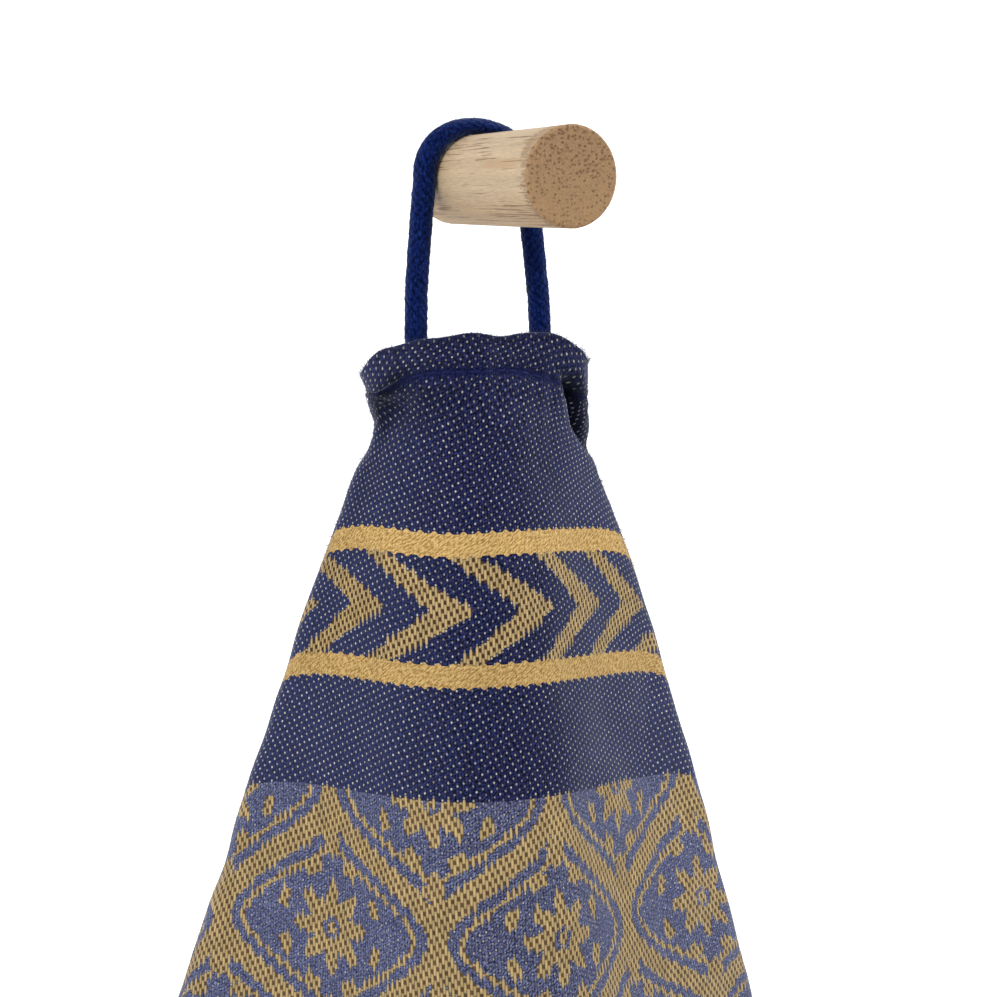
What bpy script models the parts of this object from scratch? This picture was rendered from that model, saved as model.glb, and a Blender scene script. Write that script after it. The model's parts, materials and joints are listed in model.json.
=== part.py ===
"""A tea towel hanging by its sewn-on cord loop from a round wooden wall peg.

Metres, +Z up. The wall is the plane Y = 0 and the room lies towards -Y. The peg's axis runs along -Y
through the origin, which is the centre of the peg's back face.
"""
import math

import bpy
import numpy as np

MM = 0.001

# The peg: a plain dowel that stands straight out of the wall
PEG_DIAMETER = 20 * MM
PEG_LENGTH = 62 * MM
PEG_SEGMENTS = 64
PEG_EDGE_ROUND = 0.6 * MM
SHARP_ANGLE = math.radians(35)

# The hanging loop: one length of round braided cord over the peg, both ends sewn behind the hem.
# Its left half from the sewn end to the top, as x, y, z in millimetres and the share of its thickness
# that is left there: it is pressed flatter where it bears on the peg.
CORD_DIAMETER = 5 * MM
CORD_POINT_SPACING = 2.4 * MM
CORD_HALF_ROUTE = (
    (-15.4, -13.8, -43.5, 1),
    (-15.8, -13.8, -36.0, 1),
    (-15.4, -13.3, -27.0, 1),
    (-14.3, -13.0, -16.0, 1),
    (-13.2, -13.0, -6.0, 1),
    (-12.85, -13.0, 0.0, 1),
    (-12.3, -13.0, 4.5, 0.97),
    (-10.2, -13.0, 8.2, 0.90),
    (-6.5, -13.0, 11.0, 0.78),
    (-2.3, -13.0, 12.0, 0.70),
    (0.0, -13.0, 12.1, 0.68),
)

# The cloth, flat: its width, its length and the hem that is folded to the back at the top
TOWEL_WIDTH = 500 * MM
TOWEL_LENGTH = 700 * MM
CLOTH_THICKNESS = 1.4 * MM
HEM_THICKNESS = 2.0 * MM
HEM_DEPTH = 9.5 * MM

# The cloth hangs as a fan: its straight lines all aim at a point above the middle of the hem
FAN_ABOVE_HEM = 51 * MM
FAN_TOP_Z = 16 * MM

# Grid of the cloth's solid: cells down it, and how far they are even (the rest lie closer towards the
# top). Across it are lines that follow each fold, at these shares of the fold's round from its middle,
# and cells between one fold's lines and the next.
DOWN_CELLS = 38
DOWN_EVEN_SHARE = 0.2
FOLD_LINES = (-1.5, -0.9, -0.45, 0.0, 0.45, 0.9, 1.5)
FOLDS_ACROSS = ("left_inner_fold", "left_fold", "right_fold", "right_inner_fold")
CELLS_BETWEEN = (6, 3, 13, 3, 6)
INNER_FOLD_EDGE_ROOM = 30 * MM

# The fan cut across at several levels, as seen from above. A level is the distance down the cloth from
# the fan's point. Each row gives, in millimetres, the place of the front ridge, then for both sides
# the arc from the ridge to each fold and the arc that the fold takes to turn (its half), and in
# degrees the headings of the panels between the folds.
SECTION_COLUMNS = (
    "level", "ridge_x", "ridge_y", "left_heading", "right_heading", "ridge_round",
    "left_fold", "left_round", "left_inner_fold", "inner_round", "left_last_fold",
    "right_fold", "right_round", "return_heading", "right_inner_fold", "right_last_fold",
    "inner_heading", "wave")
SECTIONS = (
    (40, -1, -20.4, -6, 6, 7, -29, 8, -57, 6, -72, 34, 10, 178, 62, 78, 6, 0),
    (60, -2, -20.6, -8, 7, 8, -31, 8, -58, 6, -79, 36, 10, 178, 65, 84, 8, 0),
    (76, -3, -24.0, -44, 22, 10, -32, 7, -65, 7, -91, 38, 9, 183, 69, 94, 20, 0),
    (100, -6, -33.0, -50, 24, 13, -41, 6, -86, 7, -120, 46, 8, 194, 80, 118, 27, 0),
    (142, -10, -46.5, -49, 24, 17, -58, 7, -120, 7, -161, 63, 8, 199, 107, 156, 28, 0),
    (220, -17, -70.0, -47, 23, 24, -88, 8, -188, 8, -266, 88, 9, 196, 162, 242, 27, 0),
    (300, -20, -77.0, -38, 21, 30, -113, 10, -250, 9, -350, 112, 11, 189, 236, 350, 20, 0.4),
    (420, -17, -71.0, -28, 18, 34, -125, 12, -300, 10, -450, 128, 12, 182, 300, 450, 10, 0.9),
    (600, -12, -62.0, -20, 15, 36, -131, 13, -340, 10, -470, 136, 13, 180, 340, 470, 6, 1.0),
    (800, -8, -56.0, -16, 13, 38, -135, 13, -360, 10, -490, 140, 13, 180, 360, 490, 4, 1.1),
)
WALL_PANEL_HEADING = 179
LEFT_INNER_HEADING = 1
LAST_FOLD_TURN = 168
# The ridge turns from this many of its rounds before its middle, and takes this many to turn
RIDGE_LEAD = 0.9
RIDGE_SPAN = 2.2

# Soft upright folds of the lower cloth: arc from the ridge where they start and at the bottom hem,
# half width (mm), and how far they swing the heading (degrees)
UPRIGHT_FOLDS = (
    (-30, -34, 15, -9),
    (-66, -80, 17, 24),
    (-98, -114, 12, -12),
    (28, 34, 14, -8),
    (56, 70, 18, 22),
    (94, 110, 12, -10),
    (-182, -200, 26, -12),
    (176, 200, 24, -11),
)
UPRIGHT_START_LEVEL = 300
UPRIGHT_END_LEVEL = 750

# Valleys beside the front panel, from the ends of the hem's stitching outwards: arc from the ridge
# at the upper and at the lower level, depth and half width (mm). They grow over the first share of
# the way between the two levels and fade out just past the lower one.
VALLEYS = ((-17, -31, 3.0, 4.0), (20, 32, 3.4, 4.0))
VALLEY_UPPER_LEVEL = 61
VALLEY_LOWER_LEVEL = 86
VALLEY_GROWS_OVER = 0.35
VALLEY_FADES_OVER = 0.6
VALLEY_ENDS_AT = 1.15

# The hem's shoulders hang lower than its middle: each one's side, where it starts, its width and its
# drop (mm)
SHOULDERS = ((-1, 13, 22, 10.0), (1, 18, 19, 8.0))
SHOULDER_FADE_LEVELS = (56, 101)

# Colour and roughness
PEG_FINISH = ((0.52, 0.38, 0.24), 0.55)
CORD_FINISH = ((0.005, 0.013, 0.055), 0.9)
CLOTH_FINISH = ((0.024, 0.026, 0.075), 0.9)


def smooth_step(t):
    """0 below 0, 1 above 1 and an even curve between."""
    t = np.clip(t, 0, 1)
    return t * t * (3 - 2 * t)


def through_rows(at, values, x):
    """A smooth curve through a table's rows that never overshoots them."""
    at = np.asarray(at, float)
    values = np.asarray(values, float)
    widths = np.diff(at)
    rises = np.diff(values) / widths
    slopes = np.concatenate([rises[:1], np.zeros(len(at) - 2), rises[-1:]])
    for i in range(1, len(at) - 1):
        if rises[i - 1] * rises[i] > 0:
            before = (2 * widths[i] + widths[i - 1]) / rises[i - 1]
            after = (widths[i] + 2 * widths[i - 1]) / rises[i]
            slopes[i] = 3 * (widths[i - 1] + widths[i]) / (before + after)
    x = np.clip(x, at[0], at[-1])
    i = np.clip(np.searchsorted(at, x, side="right") - 1, 0, len(at) - 2)
    t = (x - at[i]) / widths[i]
    start = (1 + 2 * t) * (1 - t) ** 2 * values[i] + t * (1 - t) ** 2 * widths[i] * slopes[i]
    end = t * t * (3 - 2 * t) * values[i + 1] + t * t * (t - 1) * widths[i] * slopes[i + 1]
    return start + end


def section_value(name, level):
    """One column of the sections' table, read at any level."""
    column = SECTION_COLUMNS.index(name)
    return through_rows([row[0] for row in SECTIONS], [row[column] for row in SECTIONS], level)


def section_heading(level, arc):
    """Heading of the cloth, in radians, at an arc from the ridge of one level's section."""
    row = {name: section_value(name, level) for name in SECTION_COLUMNS[1:]}
    ridge = smooth_step((arc / row["ridge_round"] + RIDGE_LEAD) / RIDGE_SPAN)
    heading = row["left_heading"] + (row["right_heading"] - row["left_heading"]) * ridge

    down = (level - UPRIGHT_START_LEVEL) / (UPRIGHT_END_LEVEL - UPRIGHT_START_LEVEL)
    for start_arc, end_arc, half_width, swing in UPRIGHT_FOLDS:
        t = (arc - start_arc - (end_arc - start_arc) * down) / half_width
        heading = heading + row["wave"] * swing * t * np.exp(0.5 - 0.5 * t * t)

    def turned(distance, half_round):
        return smooth_step((distance + half_round) / (2 * half_round))

    outer = turned(arc - row["right_fold"], row["right_round"])
    inner = turned(arc - row["right_inner_fold"], row["inner_round"])
    last = turned(arc - row["right_last_fold"], row["inner_round"])
    heading = heading + (row["return_heading"] - row["right_heading"]) * outer
    heading = heading - (row["return_heading"] - row["inner_heading"]) * inner + LAST_FOLD_TURN * last

    outer = turned(row["left_fold"] - arc, row["left_round"])
    inner = turned(row["left_inner_fold"] - arc, row["inner_round"])
    last = turned(row["left_last_fold"] - arc, row["inner_round"])
    heading = heading - (row["left_heading"] + WALL_PANEL_HEADING) * outer
    heading = heading - (360 - WALL_PANEL_HEADING - LEFT_INNER_HEADING) * inner + LAST_FOLD_TURN * last
    return np.radians(heading)


def relief(level, arc):
    """How far the cloth stands out of its section, in mm: valleys beside the front panel."""
    down = (level - VALLEY_UPPER_LEVEL) / (VALLEY_LOWER_LEVEL - VALLEY_UPPER_LEVEL)
    along = smooth_step(down / VALLEY_GROWS_OVER) * smooth_step((VALLEY_ENDS_AT - down) / VALLEY_FADES_OVER)
    height = np.zeros_like(arc)
    for upper_arc, lower_arc, depth, half_width in VALLEYS:
        middle = upper_arc + (lower_arc - upper_arc) * down
        height = height - depth * along * np.exp(-((arc - middle) / half_width) ** 2)
    return height


def shoulder_drop(level, angle):
    """How far the hem's shoulders hang below the fan, in mm."""
    across = level * np.sin(angle)
    start, end = SHOULDER_FADE_LEVELS
    fade = 1 - smooth_step((level - start) / (end - start))
    drop = np.zeros_like(across)
    for side, begin, width, depth in SHOULDERS:
        drop = drop + depth * smooth_step((side * across - begin) / width)
    return drop * fade


class Fan:
    """The hanging cloth on a grid of levels and angles of the fan, in millimetres.

    Each level's section gives where the cloth goes sideways. How far it falls from one level to the
    next, and how much of its arc is left to run along the section, follow from its length, which
    doesn't change.
    """

    LEVEL_STEP = 4.0
    LEVEL_COUNT = 201
    ANGLE_STEP = math.radians(0.25)
    ANGLE_LIMIT = math.radians(80)
    LEAST_FALL = 0.12
    LEAST_SHARE = 0.25
    ROUNDS = 4

    def __init__(self):
        level = (np.arange(self.LEVEL_COUNT) * self.LEVEL_STEP)[:, None]
        half_count = round(self.ANGLE_LIMIT / self.ANGLE_STEP)
        self.angle = np.arange(-half_count, half_count + 1) * self.ANGLE_STEP
        arc = level * self.angle[None, :]
        heading = section_heading(level, arc)
        share = np.ones_like(arc)
        for _ in range(self.ROUNDS):
            x = section_value("ridge_x", level) + self.along(share * np.cos(heading), arc, half_count)
            y = section_value("ridge_y", level) + self.along(share * np.sin(heading), arc, half_count)
            sideways = (np.diff(x, axis=0) ** 2 + np.diff(y, axis=0) ** 2) / self.LEVEL_STEP ** 2
            fall = np.sqrt(np.clip(1 - sideways, self.LEAST_FALL, 1))
            z = np.zeros_like(arc)
            z[1:] = -np.cumsum(fall * self.LEVEL_STEP, axis=0)
            slope = np.gradient(z, axis=1) / np.maximum(np.gradient(arc, axis=1), 1e-6)
            share = np.sqrt(np.clip(1 - slope ** 2, self.LEAST_SHARE, 1))
            share[0] = share[1]
        out = relief(level, arc)
        x = x + out * np.sin(heading)
        y = y - out * np.cos(heading)
        z = z + FAN_TOP_Z / MM - shoulder_drop(level, self.angle[None, :])
        self.points = np.stack([x, y, z], axis=-1)

    @staticmethod
    def along(values, arc, middle):
        """Sum of the values along each section, counted from its ridge."""
        steps = 0.5 * (values[:, 1:] + values[:, :-1]) * np.diff(arc, axis=1)
        total = np.concatenate([np.zeros((len(arc), 1)), np.cumsum(steps, axis=1)], axis=1)
        return total - total[:, middle:middle + 1]

    def at(self, across, down):
        """Places in space, in metres, of points of the flat cloth given in metres."""
        across = np.asarray(across, float) / MM
        down = (np.asarray(down, float) + FAN_ABOVE_HEM) / MM
        row = np.hypot(across, down) / self.LEVEL_STEP
        column = (np.arctan2(across, down) - self.angle[0]) / self.ANGLE_STEP
        i = np.clip(row.astype(int), 0, self.points.shape[0] - 2)
        j = np.clip(column.astype(int), 0, self.points.shape[1] - 2)
        a = (row - i)[..., None]
        b = (column - j)[..., None]
        upper = self.points[i, j] * (1 - b) + self.points[i, j + 1] * b
        lower = self.points[i + 1, j] * (1 - b) + self.points[i + 1, j + 1] * b
        return (upper * (1 - a) + lower * a) * MM


def fold_path(name, down):
    """Where a fold runs on the flat cloth: its places across it at places down it, in metres."""
    level = np.arange(FAN_ABOVE_HEM / MM, Fan.LEVEL_STEP * Fan.LEVEL_COUNT, Fan.LEVEL_STEP / 2)
    angle = section_value(name, level) / level
    return np.interp(down, level * np.cos(angle) * MM - FAN_ABOVE_HEM, level * np.sin(angle) * MM)


def flat_grid(down_cells, fold_lines, cells_between):
    """Flat places of the grid's points: its lines down the cloth follow the folds."""
    p = np.linspace(0, 1, down_cells + 1)
    down = TOWEL_LENGTH * (DOWN_EVEN_SHARE * p + (1 - DOWN_EVEN_SHARE) * p * p)
    edge = TOWEL_WIDTH / 2
    limit = edge - INNER_FOLD_EDGE_ROOM
    stops = [-edge + 0 * down]
    for name in FOLDS_ACROSS:
        middle = np.clip(fold_path(name, down), -limit, limit)
        rounds = {"left_fold": "left_round", "right_fold": "right_round"}.get(name, "inner_round")
        half = section_value(rounds, (down + FAN_ABOVE_HEM) / MM) * MM
        stops += [middle + share * half for share in fold_lines]
    stops.append(edge + 0 * down)
    cells = [cells_between[0]]
    for between in cells_between[1:]:
        cells += [1] * (len(fold_lines) - 1) + [between]
    lines = [stops[0]]
    for start, end, count in zip(stops, stops[1:], cells):
        lines += [start + (end - start) * step / count for step in range(1, count + 1)]
    across = np.stack(lines, axis=1)
    return across, down[:, None] + 0 * across


def new_material(name, finish):
    colour, roughness = finish
    material = bpy.data.materials.new(name)
    material.use_nodes = True
    shader = material.node_tree.nodes["Principled BSDF"]
    shader.inputs["Base Color"].default_value = (*colour, 1)
    shader.inputs["Roughness"].default_value = roughness
    shader.inputs["Metallic"].default_value = 0
    return material


def link(obj, collection, material):
    for owner in list(obj.users_collection):
        owner.objects.unlink(obj)
    collection.objects.link(obj)
    obj.data.materials.append(material)


def make_peg(collection):
    bpy.ops.mesh.primitive_cylinder_add(
        vertices=PEG_SEGMENTS, radius=PEG_DIAMETER / 2, depth=PEG_LENGTH,
        location=(0, -PEG_LENGTH / 2, 0), rotation=(math.pi / 2, 0, 0))
    peg = bpy.context.object
    peg.name = "peg"
    bevel = peg.modifiers.new("eased edge", "BEVEL")
    bevel.width = PEG_EDGE_ROUND
    bevel.segments = 1
    bevel.limit_method = "ANGLE"
    link(peg, collection, new_material("bamboo", PEG_FINISH))
    peg.data.set_sharp_from_angle(angle=SHARP_ANGLE)


def loop_route():
    """The cord's centre line and thickness: up the left leg, over the peg, down the right leg."""
    right = [(-x, y, z, share) for x, y, z, share in reversed(CORD_HALF_ROUTE[:-1])]
    return np.array(list(CORD_HALF_ROUTE) + right, float) * (MM, MM, MM, 1)


def smooth_points(route, spacing):
    """Points at an even spacing on a smooth curve through the route's points."""
    chords = np.linalg.norm(np.diff(route[:, :3], axis=0), axis=1)
    at = np.concatenate([[0], np.cumsum(chords)])
    tangents = np.gradient(route, at, axis=0)
    distances = np.linspace(0, at[-1], round(at[-1] / spacing) + 1)
    i = np.clip(np.searchsorted(at, distances, side="right") - 1, 0, len(at) - 2)
    width = (at[i + 1] - at[i])[:, None]
    t = (distances[:, None] - at[i][:, None]) / width
    start = (1 + 2 * t) * (1 - t) ** 2 * route[i] + t * (1 - t) ** 2 * width * tangents[i]
    end = t * t * (3 - 2 * t) * route[i + 1] + t * t * (t - 1) * width * tangents[i + 1]
    return start + end


def make_loop(collection):
    points = smooth_points(loop_route(), CORD_POINT_SPACING)
    curve = bpy.data.curves.new("hanging_loop", "CURVE")
    curve.dimensions = "3D"
    curve.bevel_depth = CORD_DIAMETER / 2
    curve.bevel_resolution = 2
    curve.use_fill_caps = True
    spline = curve.splines.new("POLY")
    spline.points.add(len(points) - 1)
    for target, point in zip(spline.points, points):
        target.co = (*point[:3], 1)
        target.radius = point[3]
    loop = bpy.data.objects.new("hanging_loop", curve)
    link(loop, collection, new_material("navy cord", CORD_FINISH))


def make_towel(collection):
    across, down = flat_grid(DOWN_CELLS, FOLD_LINES, CELLS_BETWEEN)
    places = Fan().at(across, down)
    rows, columns = across.shape
    faces = []
    for i in range(rows - 1):
        for j in range(columns - 1):
            corner = i * columns + j
            faces.append((corner, corner + columns, corner + columns + 1, corner + 1))
    mesh = bpy.data.meshes.new("towel")
    mesh.from_pydata(places.reshape(-1, 3).tolist(), [], faces)
    towel = bpy.data.objects.new("towel", mesh)

    hem = towel.vertex_groups.new(name="hem")
    for index, depth in enumerate(down.reshape(-1)):
        hem.add([index], 1 if depth < HEM_DEPTH else CLOTH_THICKNESS / HEM_THICKNESS, "REPLACE")
    wall = towel.modifiers.new("thickness", "SOLIDIFY")
    wall.thickness = HEM_THICKNESS
    wall.offset = -1
    wall.vertex_group = "hem"
    link(towel, collection, new_material("navy weave", CLOTH_FINISH))
    mesh.shade_smooth()


def main():
    for obj in list(bpy.data.objects):
        bpy.data.objects.remove(obj, do_unlink=True)
    collection = bpy.data.collections.new("tea towel on a peg")
    bpy.context.scene.collection.children.link(collection)
    make_peg(collection)
    make_loop(collection)
    make_towel(collection)


main()
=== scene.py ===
"""The looks of a tea towel that hangs by its cord loop from a bamboo wall peg.

Metres, +Z up. The wall is the plane Y = 0 and the room lies towards -Y. The peg's axis runs along -Y
through the origin, which is the centre of the peg's back face.
"""
import json
import math

import bpy
import numpy as np
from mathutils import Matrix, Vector

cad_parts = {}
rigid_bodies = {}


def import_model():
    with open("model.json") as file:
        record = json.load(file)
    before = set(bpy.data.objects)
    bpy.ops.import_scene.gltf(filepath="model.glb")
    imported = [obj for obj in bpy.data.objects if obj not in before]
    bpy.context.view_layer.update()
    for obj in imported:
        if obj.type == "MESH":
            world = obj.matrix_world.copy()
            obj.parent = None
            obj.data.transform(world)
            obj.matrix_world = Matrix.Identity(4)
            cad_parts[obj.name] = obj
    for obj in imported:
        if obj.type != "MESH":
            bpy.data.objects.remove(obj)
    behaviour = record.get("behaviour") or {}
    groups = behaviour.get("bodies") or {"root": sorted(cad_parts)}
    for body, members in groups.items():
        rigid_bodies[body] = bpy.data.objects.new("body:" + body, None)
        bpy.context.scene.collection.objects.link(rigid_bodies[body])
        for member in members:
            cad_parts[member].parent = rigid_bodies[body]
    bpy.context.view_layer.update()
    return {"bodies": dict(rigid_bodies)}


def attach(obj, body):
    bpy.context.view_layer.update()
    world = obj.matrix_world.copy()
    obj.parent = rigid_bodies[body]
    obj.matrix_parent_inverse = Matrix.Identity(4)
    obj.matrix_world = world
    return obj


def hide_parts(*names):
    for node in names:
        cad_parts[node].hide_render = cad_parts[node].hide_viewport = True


bl_info = {
    "name": "Tea towel on a peg",
    "version": (1, 0, 0),
    "blender": (4, 5, 0),
    "location": "3D View > Sidebar > Tea towel",
    "description": "Dresses a hanging tea towel, its cord loop and its peg, on a plain stage",
    "category": "Object",
}

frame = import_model()
BODY = next(iter(frame["bodies"]))
MM = 0.001

# The cloth hangs as a fan: its straight lines all aim at a point above the middle of the hem
FAN_ABOVE_HEM = 51.0
FAN_TOP_Z = 16.0

# The fan cut across at several levels, as seen from above, in millimetres and degrees, as in the part's
# solid. A level is the distance down the cloth from the fan's point.
SECTION_COLUMNS = (
    "level", "ridge_x", "ridge_y", "left_heading", "right_heading", "ridge_round",
    "left_fold", "left_round", "left_inner_fold", "inner_round", "left_last_fold",
    "right_fold", "right_round", "return_heading", "right_inner_fold", "right_last_fold",
    "inner_heading", "wave")
SECTIONS = (
    (40, -1, -20.4, -6, 6, 7, -29, 8, -57, 6, -72, 34, 10, 178, 62, 78, 6, 0),
    (60, -2, -20.6, -8, 7, 8, -31, 8, -58, 6, -79, 36, 10, 178, 65, 84, 8, 0),
    (76, -3, -24.0, -44, 22, 10, -32, 7, -65, 7, -91, 38, 9, 183, 69, 94, 20, 0),
    (100, -6, -33.0, -50, 24, 13, -41, 6, -86, 7, -120, 46, 8, 194, 80, 118, 27, 0),
    (142, -10, -46.5, -49, 24, 17, -58, 7, -120, 7, -161, 63, 8, 199, 107, 156, 28, 0),
    (220, -17, -70.0, -47, 23, 24, -88, 8, -188, 8, -266, 88, 9, 196, 162, 242, 27, 0),
    (300, -20, -77.0, -38, 21, 30, -113, 10, -250, 9, -350, 112, 11, 189, 236, 350, 20, 0.4),
    (420, -17, -71.0, -28, 18, 34, -125, 12, -300, 10, -450, 128, 12, 182, 300, 450, 10, 0.9),
    (600, -12, -62.0, -20, 15, 36, -131, 13, -340, 10, -470, 136, 13, 180, 340, 470, 6, 1.0),
    (800, -8, -56.0, -16, 13, 38, -135, 13, -360, 10, -490, 140, 13, 180, 360, 490, 4, 1.1),
)
WALL_PANEL_HEADING = 179
LEFT_INNER_HEADING = 1
LAST_FOLD_TURN = 168
RIDGE_TURNS = (-0.9, 1.3)

# Soft upright folds of the lower cloth: arc from the ridge at the first and at the last of two levels,
# half width (mm), and how far they swing the heading (degrees)
UPRIGHT_FOLDS = (
    (-30, -34, 15, -9),
    (-66, -80, 17, 24),
    (-98, -114, 12, -12),
    (28, 34, 14, -8),
    (56, 70, 18, 22),
    (94, 110, 12, -10),
    (-182, -200, 26, -12),
    (176, 200, 24, -11),
)
UPRIGHT_LEVELS = (300, 750)

# The valley left of the front panel: arc from the ridge at the upper and at the lower level, depth and
# half width (mm), and the shares of the way down between which it grows and then fades
VALLEY = (-17, -31, 3.0, 4.0)
VALLEY_LEVELS = (61, 86)
VALLEY_EXTENT = (0, 0.35, 0.55, 1.15)

# The hem's shoulders hang lower than its middle: each one's side, where it starts and ends and its drop
# (mm), and the levels between which the drop fades
SHOULDERS = ((-1, 13, 35, 10.0), (1, 18, 37, 8.0))
SHOULDER_FADE_LEVELS = (56, 101)

# Grid of the cloth: lines that follow each fold, at these shares of the fold's round from its middle,
# and cells between one fold's lines and the next. Its rows lie close together down to a place under the
# hem and then grow apart (mm).
FOLD_LINES = tuple(np.linspace(-1.5, 1.5, 15))
FOLDS_ACROSS = (
    ("left_inner_fold", "inner_round"), ("left_fold", "left_round"),
    ("right_fold", "right_round"), ("right_inner_fold", "inner_round"))
CELLS_BETWEEN = (22, 10, 92, 10, 22)
INNER_FOLD_EDGE_ROOM = 30.0
HEM_ROWS = 6
FOLD_OVER_ROWS = 6
ROW_FIRST = 0.55
ROW_EVEN_TO = 13.0
ROW_GROWTH = 0.024
ROW_LAST = 7.0

# The hem's stitching: how far it runs above the hem's depth, each side on which it sinks again, from
# where to where across the cloth and how far, and over how much cloth the pattern goes along (mm)
SEWN_ABOVE = 1.6
SEWN_SINKS = ((-1, 8, 20, 0.9), (1, 6, 22, 2.8))
SEWN_REACH = 7

# Where the cloth under the hem begins and how far down the hollows go in it (mm)
UNDER_HEM = 9
HOLLOWS_DOWN = 30

# The trough that the stitching pulls in, as depth and half width, the rolls above and below it, as
# height, place and half width, and the places across between which the rolls grow (mm)
TROUGH = (0.42, 0.9)
ROLLS = ((0.30, -3.6, 2.6), (0.35, 3.2, 2.6))
ROLLS_FROM = (-30, -21)

# Small puckers that run down from the stitching: their lengths across, height and reach down (mm)
PUCKERS = (5.3, 7.9, 11.7)
PUCKER_HEIGHT = 0.11
PUCKER_REACH = 9.0

# The hem's edge as the photograph shows it: place across, half width and lift (mm)
EDGE_LIFTS = (
    (-2.5, 5.0, 1.0), (5.5, 3.5, -0.35), (13.0, 7.0, 0.5), (-15.0, 5.0, -0.3), (-25.5, 4.8, 2.7))
EDGE_LIFT_FADE = 7.0

# The hollows under the stitching's two ends, beside the front panel, and last the layer behind the right
# one, which lies further back to leave it room: each one's path on the flat cloth (mm), its depth, its
# half widths on its left and on its right, and the shares of its path where they all grow and fade
HOLLOWS = (
    ((24.6, 7.6), (36.0, 26.0), 7.6, (2.3, 3.3)),
    ((-21.6, 6.6), (-34.0, 24.0), 1.2, (4.6, 3.2)),
    ((46.0, 4.0), (55.0, 28.0), -5.8, (5.0, 8.0)),
)
HOLLOW_EXTENT = (-0.08, 0.17, 0.60, 1.15)

# The left shoulder's underside swells towards the room: its place on the flat cloth, its half widths
# across and down, and how far (mm)
SHOULDER_SWELL = ((-27, 16), (6.5, 6.0), 2.5)

# Where little light gets into the creases: each one's path on the flat cloth (mm), how dark it is, its
# half widths on its left and on its right, and the shares of its path where they grow and fade
SHADES = (
    ((26.4, 6.6), (37.5, 27.0), 0.95, (1.2, 4.2)),
    ((-20.5, 5.0), (-30.5, 24.0), 0.85, (2.6, 3.6)),
)
SHADE_EXTENT = (-0.15, 0.15, 0.60, 1.20)

# How far the cloth's two side folds stand out near the hem, at places down the cloth (mm)
FOLD_REACH_DOWN = (
    0, 1, 4, 5.5, 7, 8.5, 10, 11.5, 13, 14.5, 16, 17.5, 19, 20.5, 22, 23.5, 25, 27,
    33, 40, 50, 62, 75, 100, 125, 170, 320)
LEFT_FOLD_REACH = (
    -0.4, -0.6, -1.3, -1.5, -1.3, -0.3, 0.1, 1.2, 2.3, 3.4, 4.1, 4.1, 3.6, 2.7, 1.7, 1.0, 0.6, 0.1,
    -0.6, -0.7, 0, 0, -0.3, -0.7, -1.3, -1.4, 0)
RIGHT_FOLD_REACH = (
    -0.4, -0.7, -0.7, -0.7, -0.7, -0.3, 0.4, 0.8, 1.1, 1.6, 2.2, 2.5, 2.5, 2.3, 1.7, 0.9, 0.1, -0.5,
    -0.7, -0.2, 0, -0.2, -1.0, -1.7, -1.8, -1.8, 0)

# How much of the cloth beside a fold goes along with it: the fold, its side, its reach, the place across
# where that starts under the hem, how far it moves out per millimetre down and where it starts lower,
# over how much cloth it grows under the hem and lower, and where past the fold it fades (mm)
FOLD_REACHES = (
    ("left_fold", -1, LEFT_FOLD_REACH, (18, 0, 10), (11, 35), (8, 28)),
    ("right_fold", 1, RIGHT_FOLD_REACH, (27, 0.4, 12), (4.5, 32.5), (12, 30)),
)
REACH_LOWER = (25, 40)

# The woven pattern runs lower beside the side folds: the fold, the way in from it, by how much at the
# fold and how far from it that fades (mm), and the places down where this grows and fades
PATTERN_DROPS = (("left_fold", 1, 7.8, 6.6), ("right_fold", -1, 6.6, 5.8))
DROP_EXTENT = (14, 44, 250, 550)

# Its columns stand closer together on the right: places across the cloth, where on the pattern they lie,
# and the places down where this grows and fades (mm)
COLUMN_PLACES = (-250, -100, -45.8, -26.7, -3, 17.5, 33.9, 50.5, 130, 250)
PATTERN_PLACES = (-250, -100, -48, -25.5, -3, 19.5, 42, 64.5, 130, 250)
COLUMN_EXTENT = (14, 34, 110, 200)

# Beside the hollows the cloth turns away and its columns close up: the side, the place across where that
# starts at the hem and how far it moves out per millimetre down, its width, how much cloth it takes up,
# and the places down between which it fades (mm)
GATHERS = ((-1, 22, 0.5, 9, 2.5, (14, 30)), (1, 29, 0.4, 7, 7.5, (20, 45)))

# The hanging loop, up the left leg, over the peg and down the right leg, as in the part's solid: x, y,
# z in metres and the share of its thickness that is left there
CORD_ROUTE = (
    (-0.0151, -0.0138, -0.0435, 1),
    (-0.0154, -0.0138, -0.0360, 1),
    (-0.0151, -0.0133, -0.0270, 1),
    (-0.0142, -0.0130, -0.0160, 1),
    (-0.0132, -0.0130, -0.0060, 1),
    (-0.0126, -0.0130, 0.0, 1),
    (-0.0120, -0.0130, 0.0044, 1),
    (-0.0099, -0.0130, 0.00795, 0.94),
    (-0.0063, -0.0130, 0.01065, 0.83),
    (-0.00225, -0.0130, 0.0118, 0.74),
    (0.0, -0.0130, 0.0119, 0.71),
    (0.00225, -0.0130, 0.0117, 0.70),
    (0.0062, -0.0130, 0.0105, 0.77),
    (0.0098, -0.0130, 0.0079, 0.90),
    (0.0120, -0.0130, 0.0044, 0.98),
    (0.0126, -0.0130, 0.0, 1),
    (0.0134, -0.0130, -0.0060, 1),
    (0.0147, -0.0130, -0.0160, 1),
    (0.0158, -0.0133, -0.0270, 1),
    (0.0161, -0.0138, -0.0360, 1),
    (0.0157, -0.0138, -0.0435, 1),
)

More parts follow.
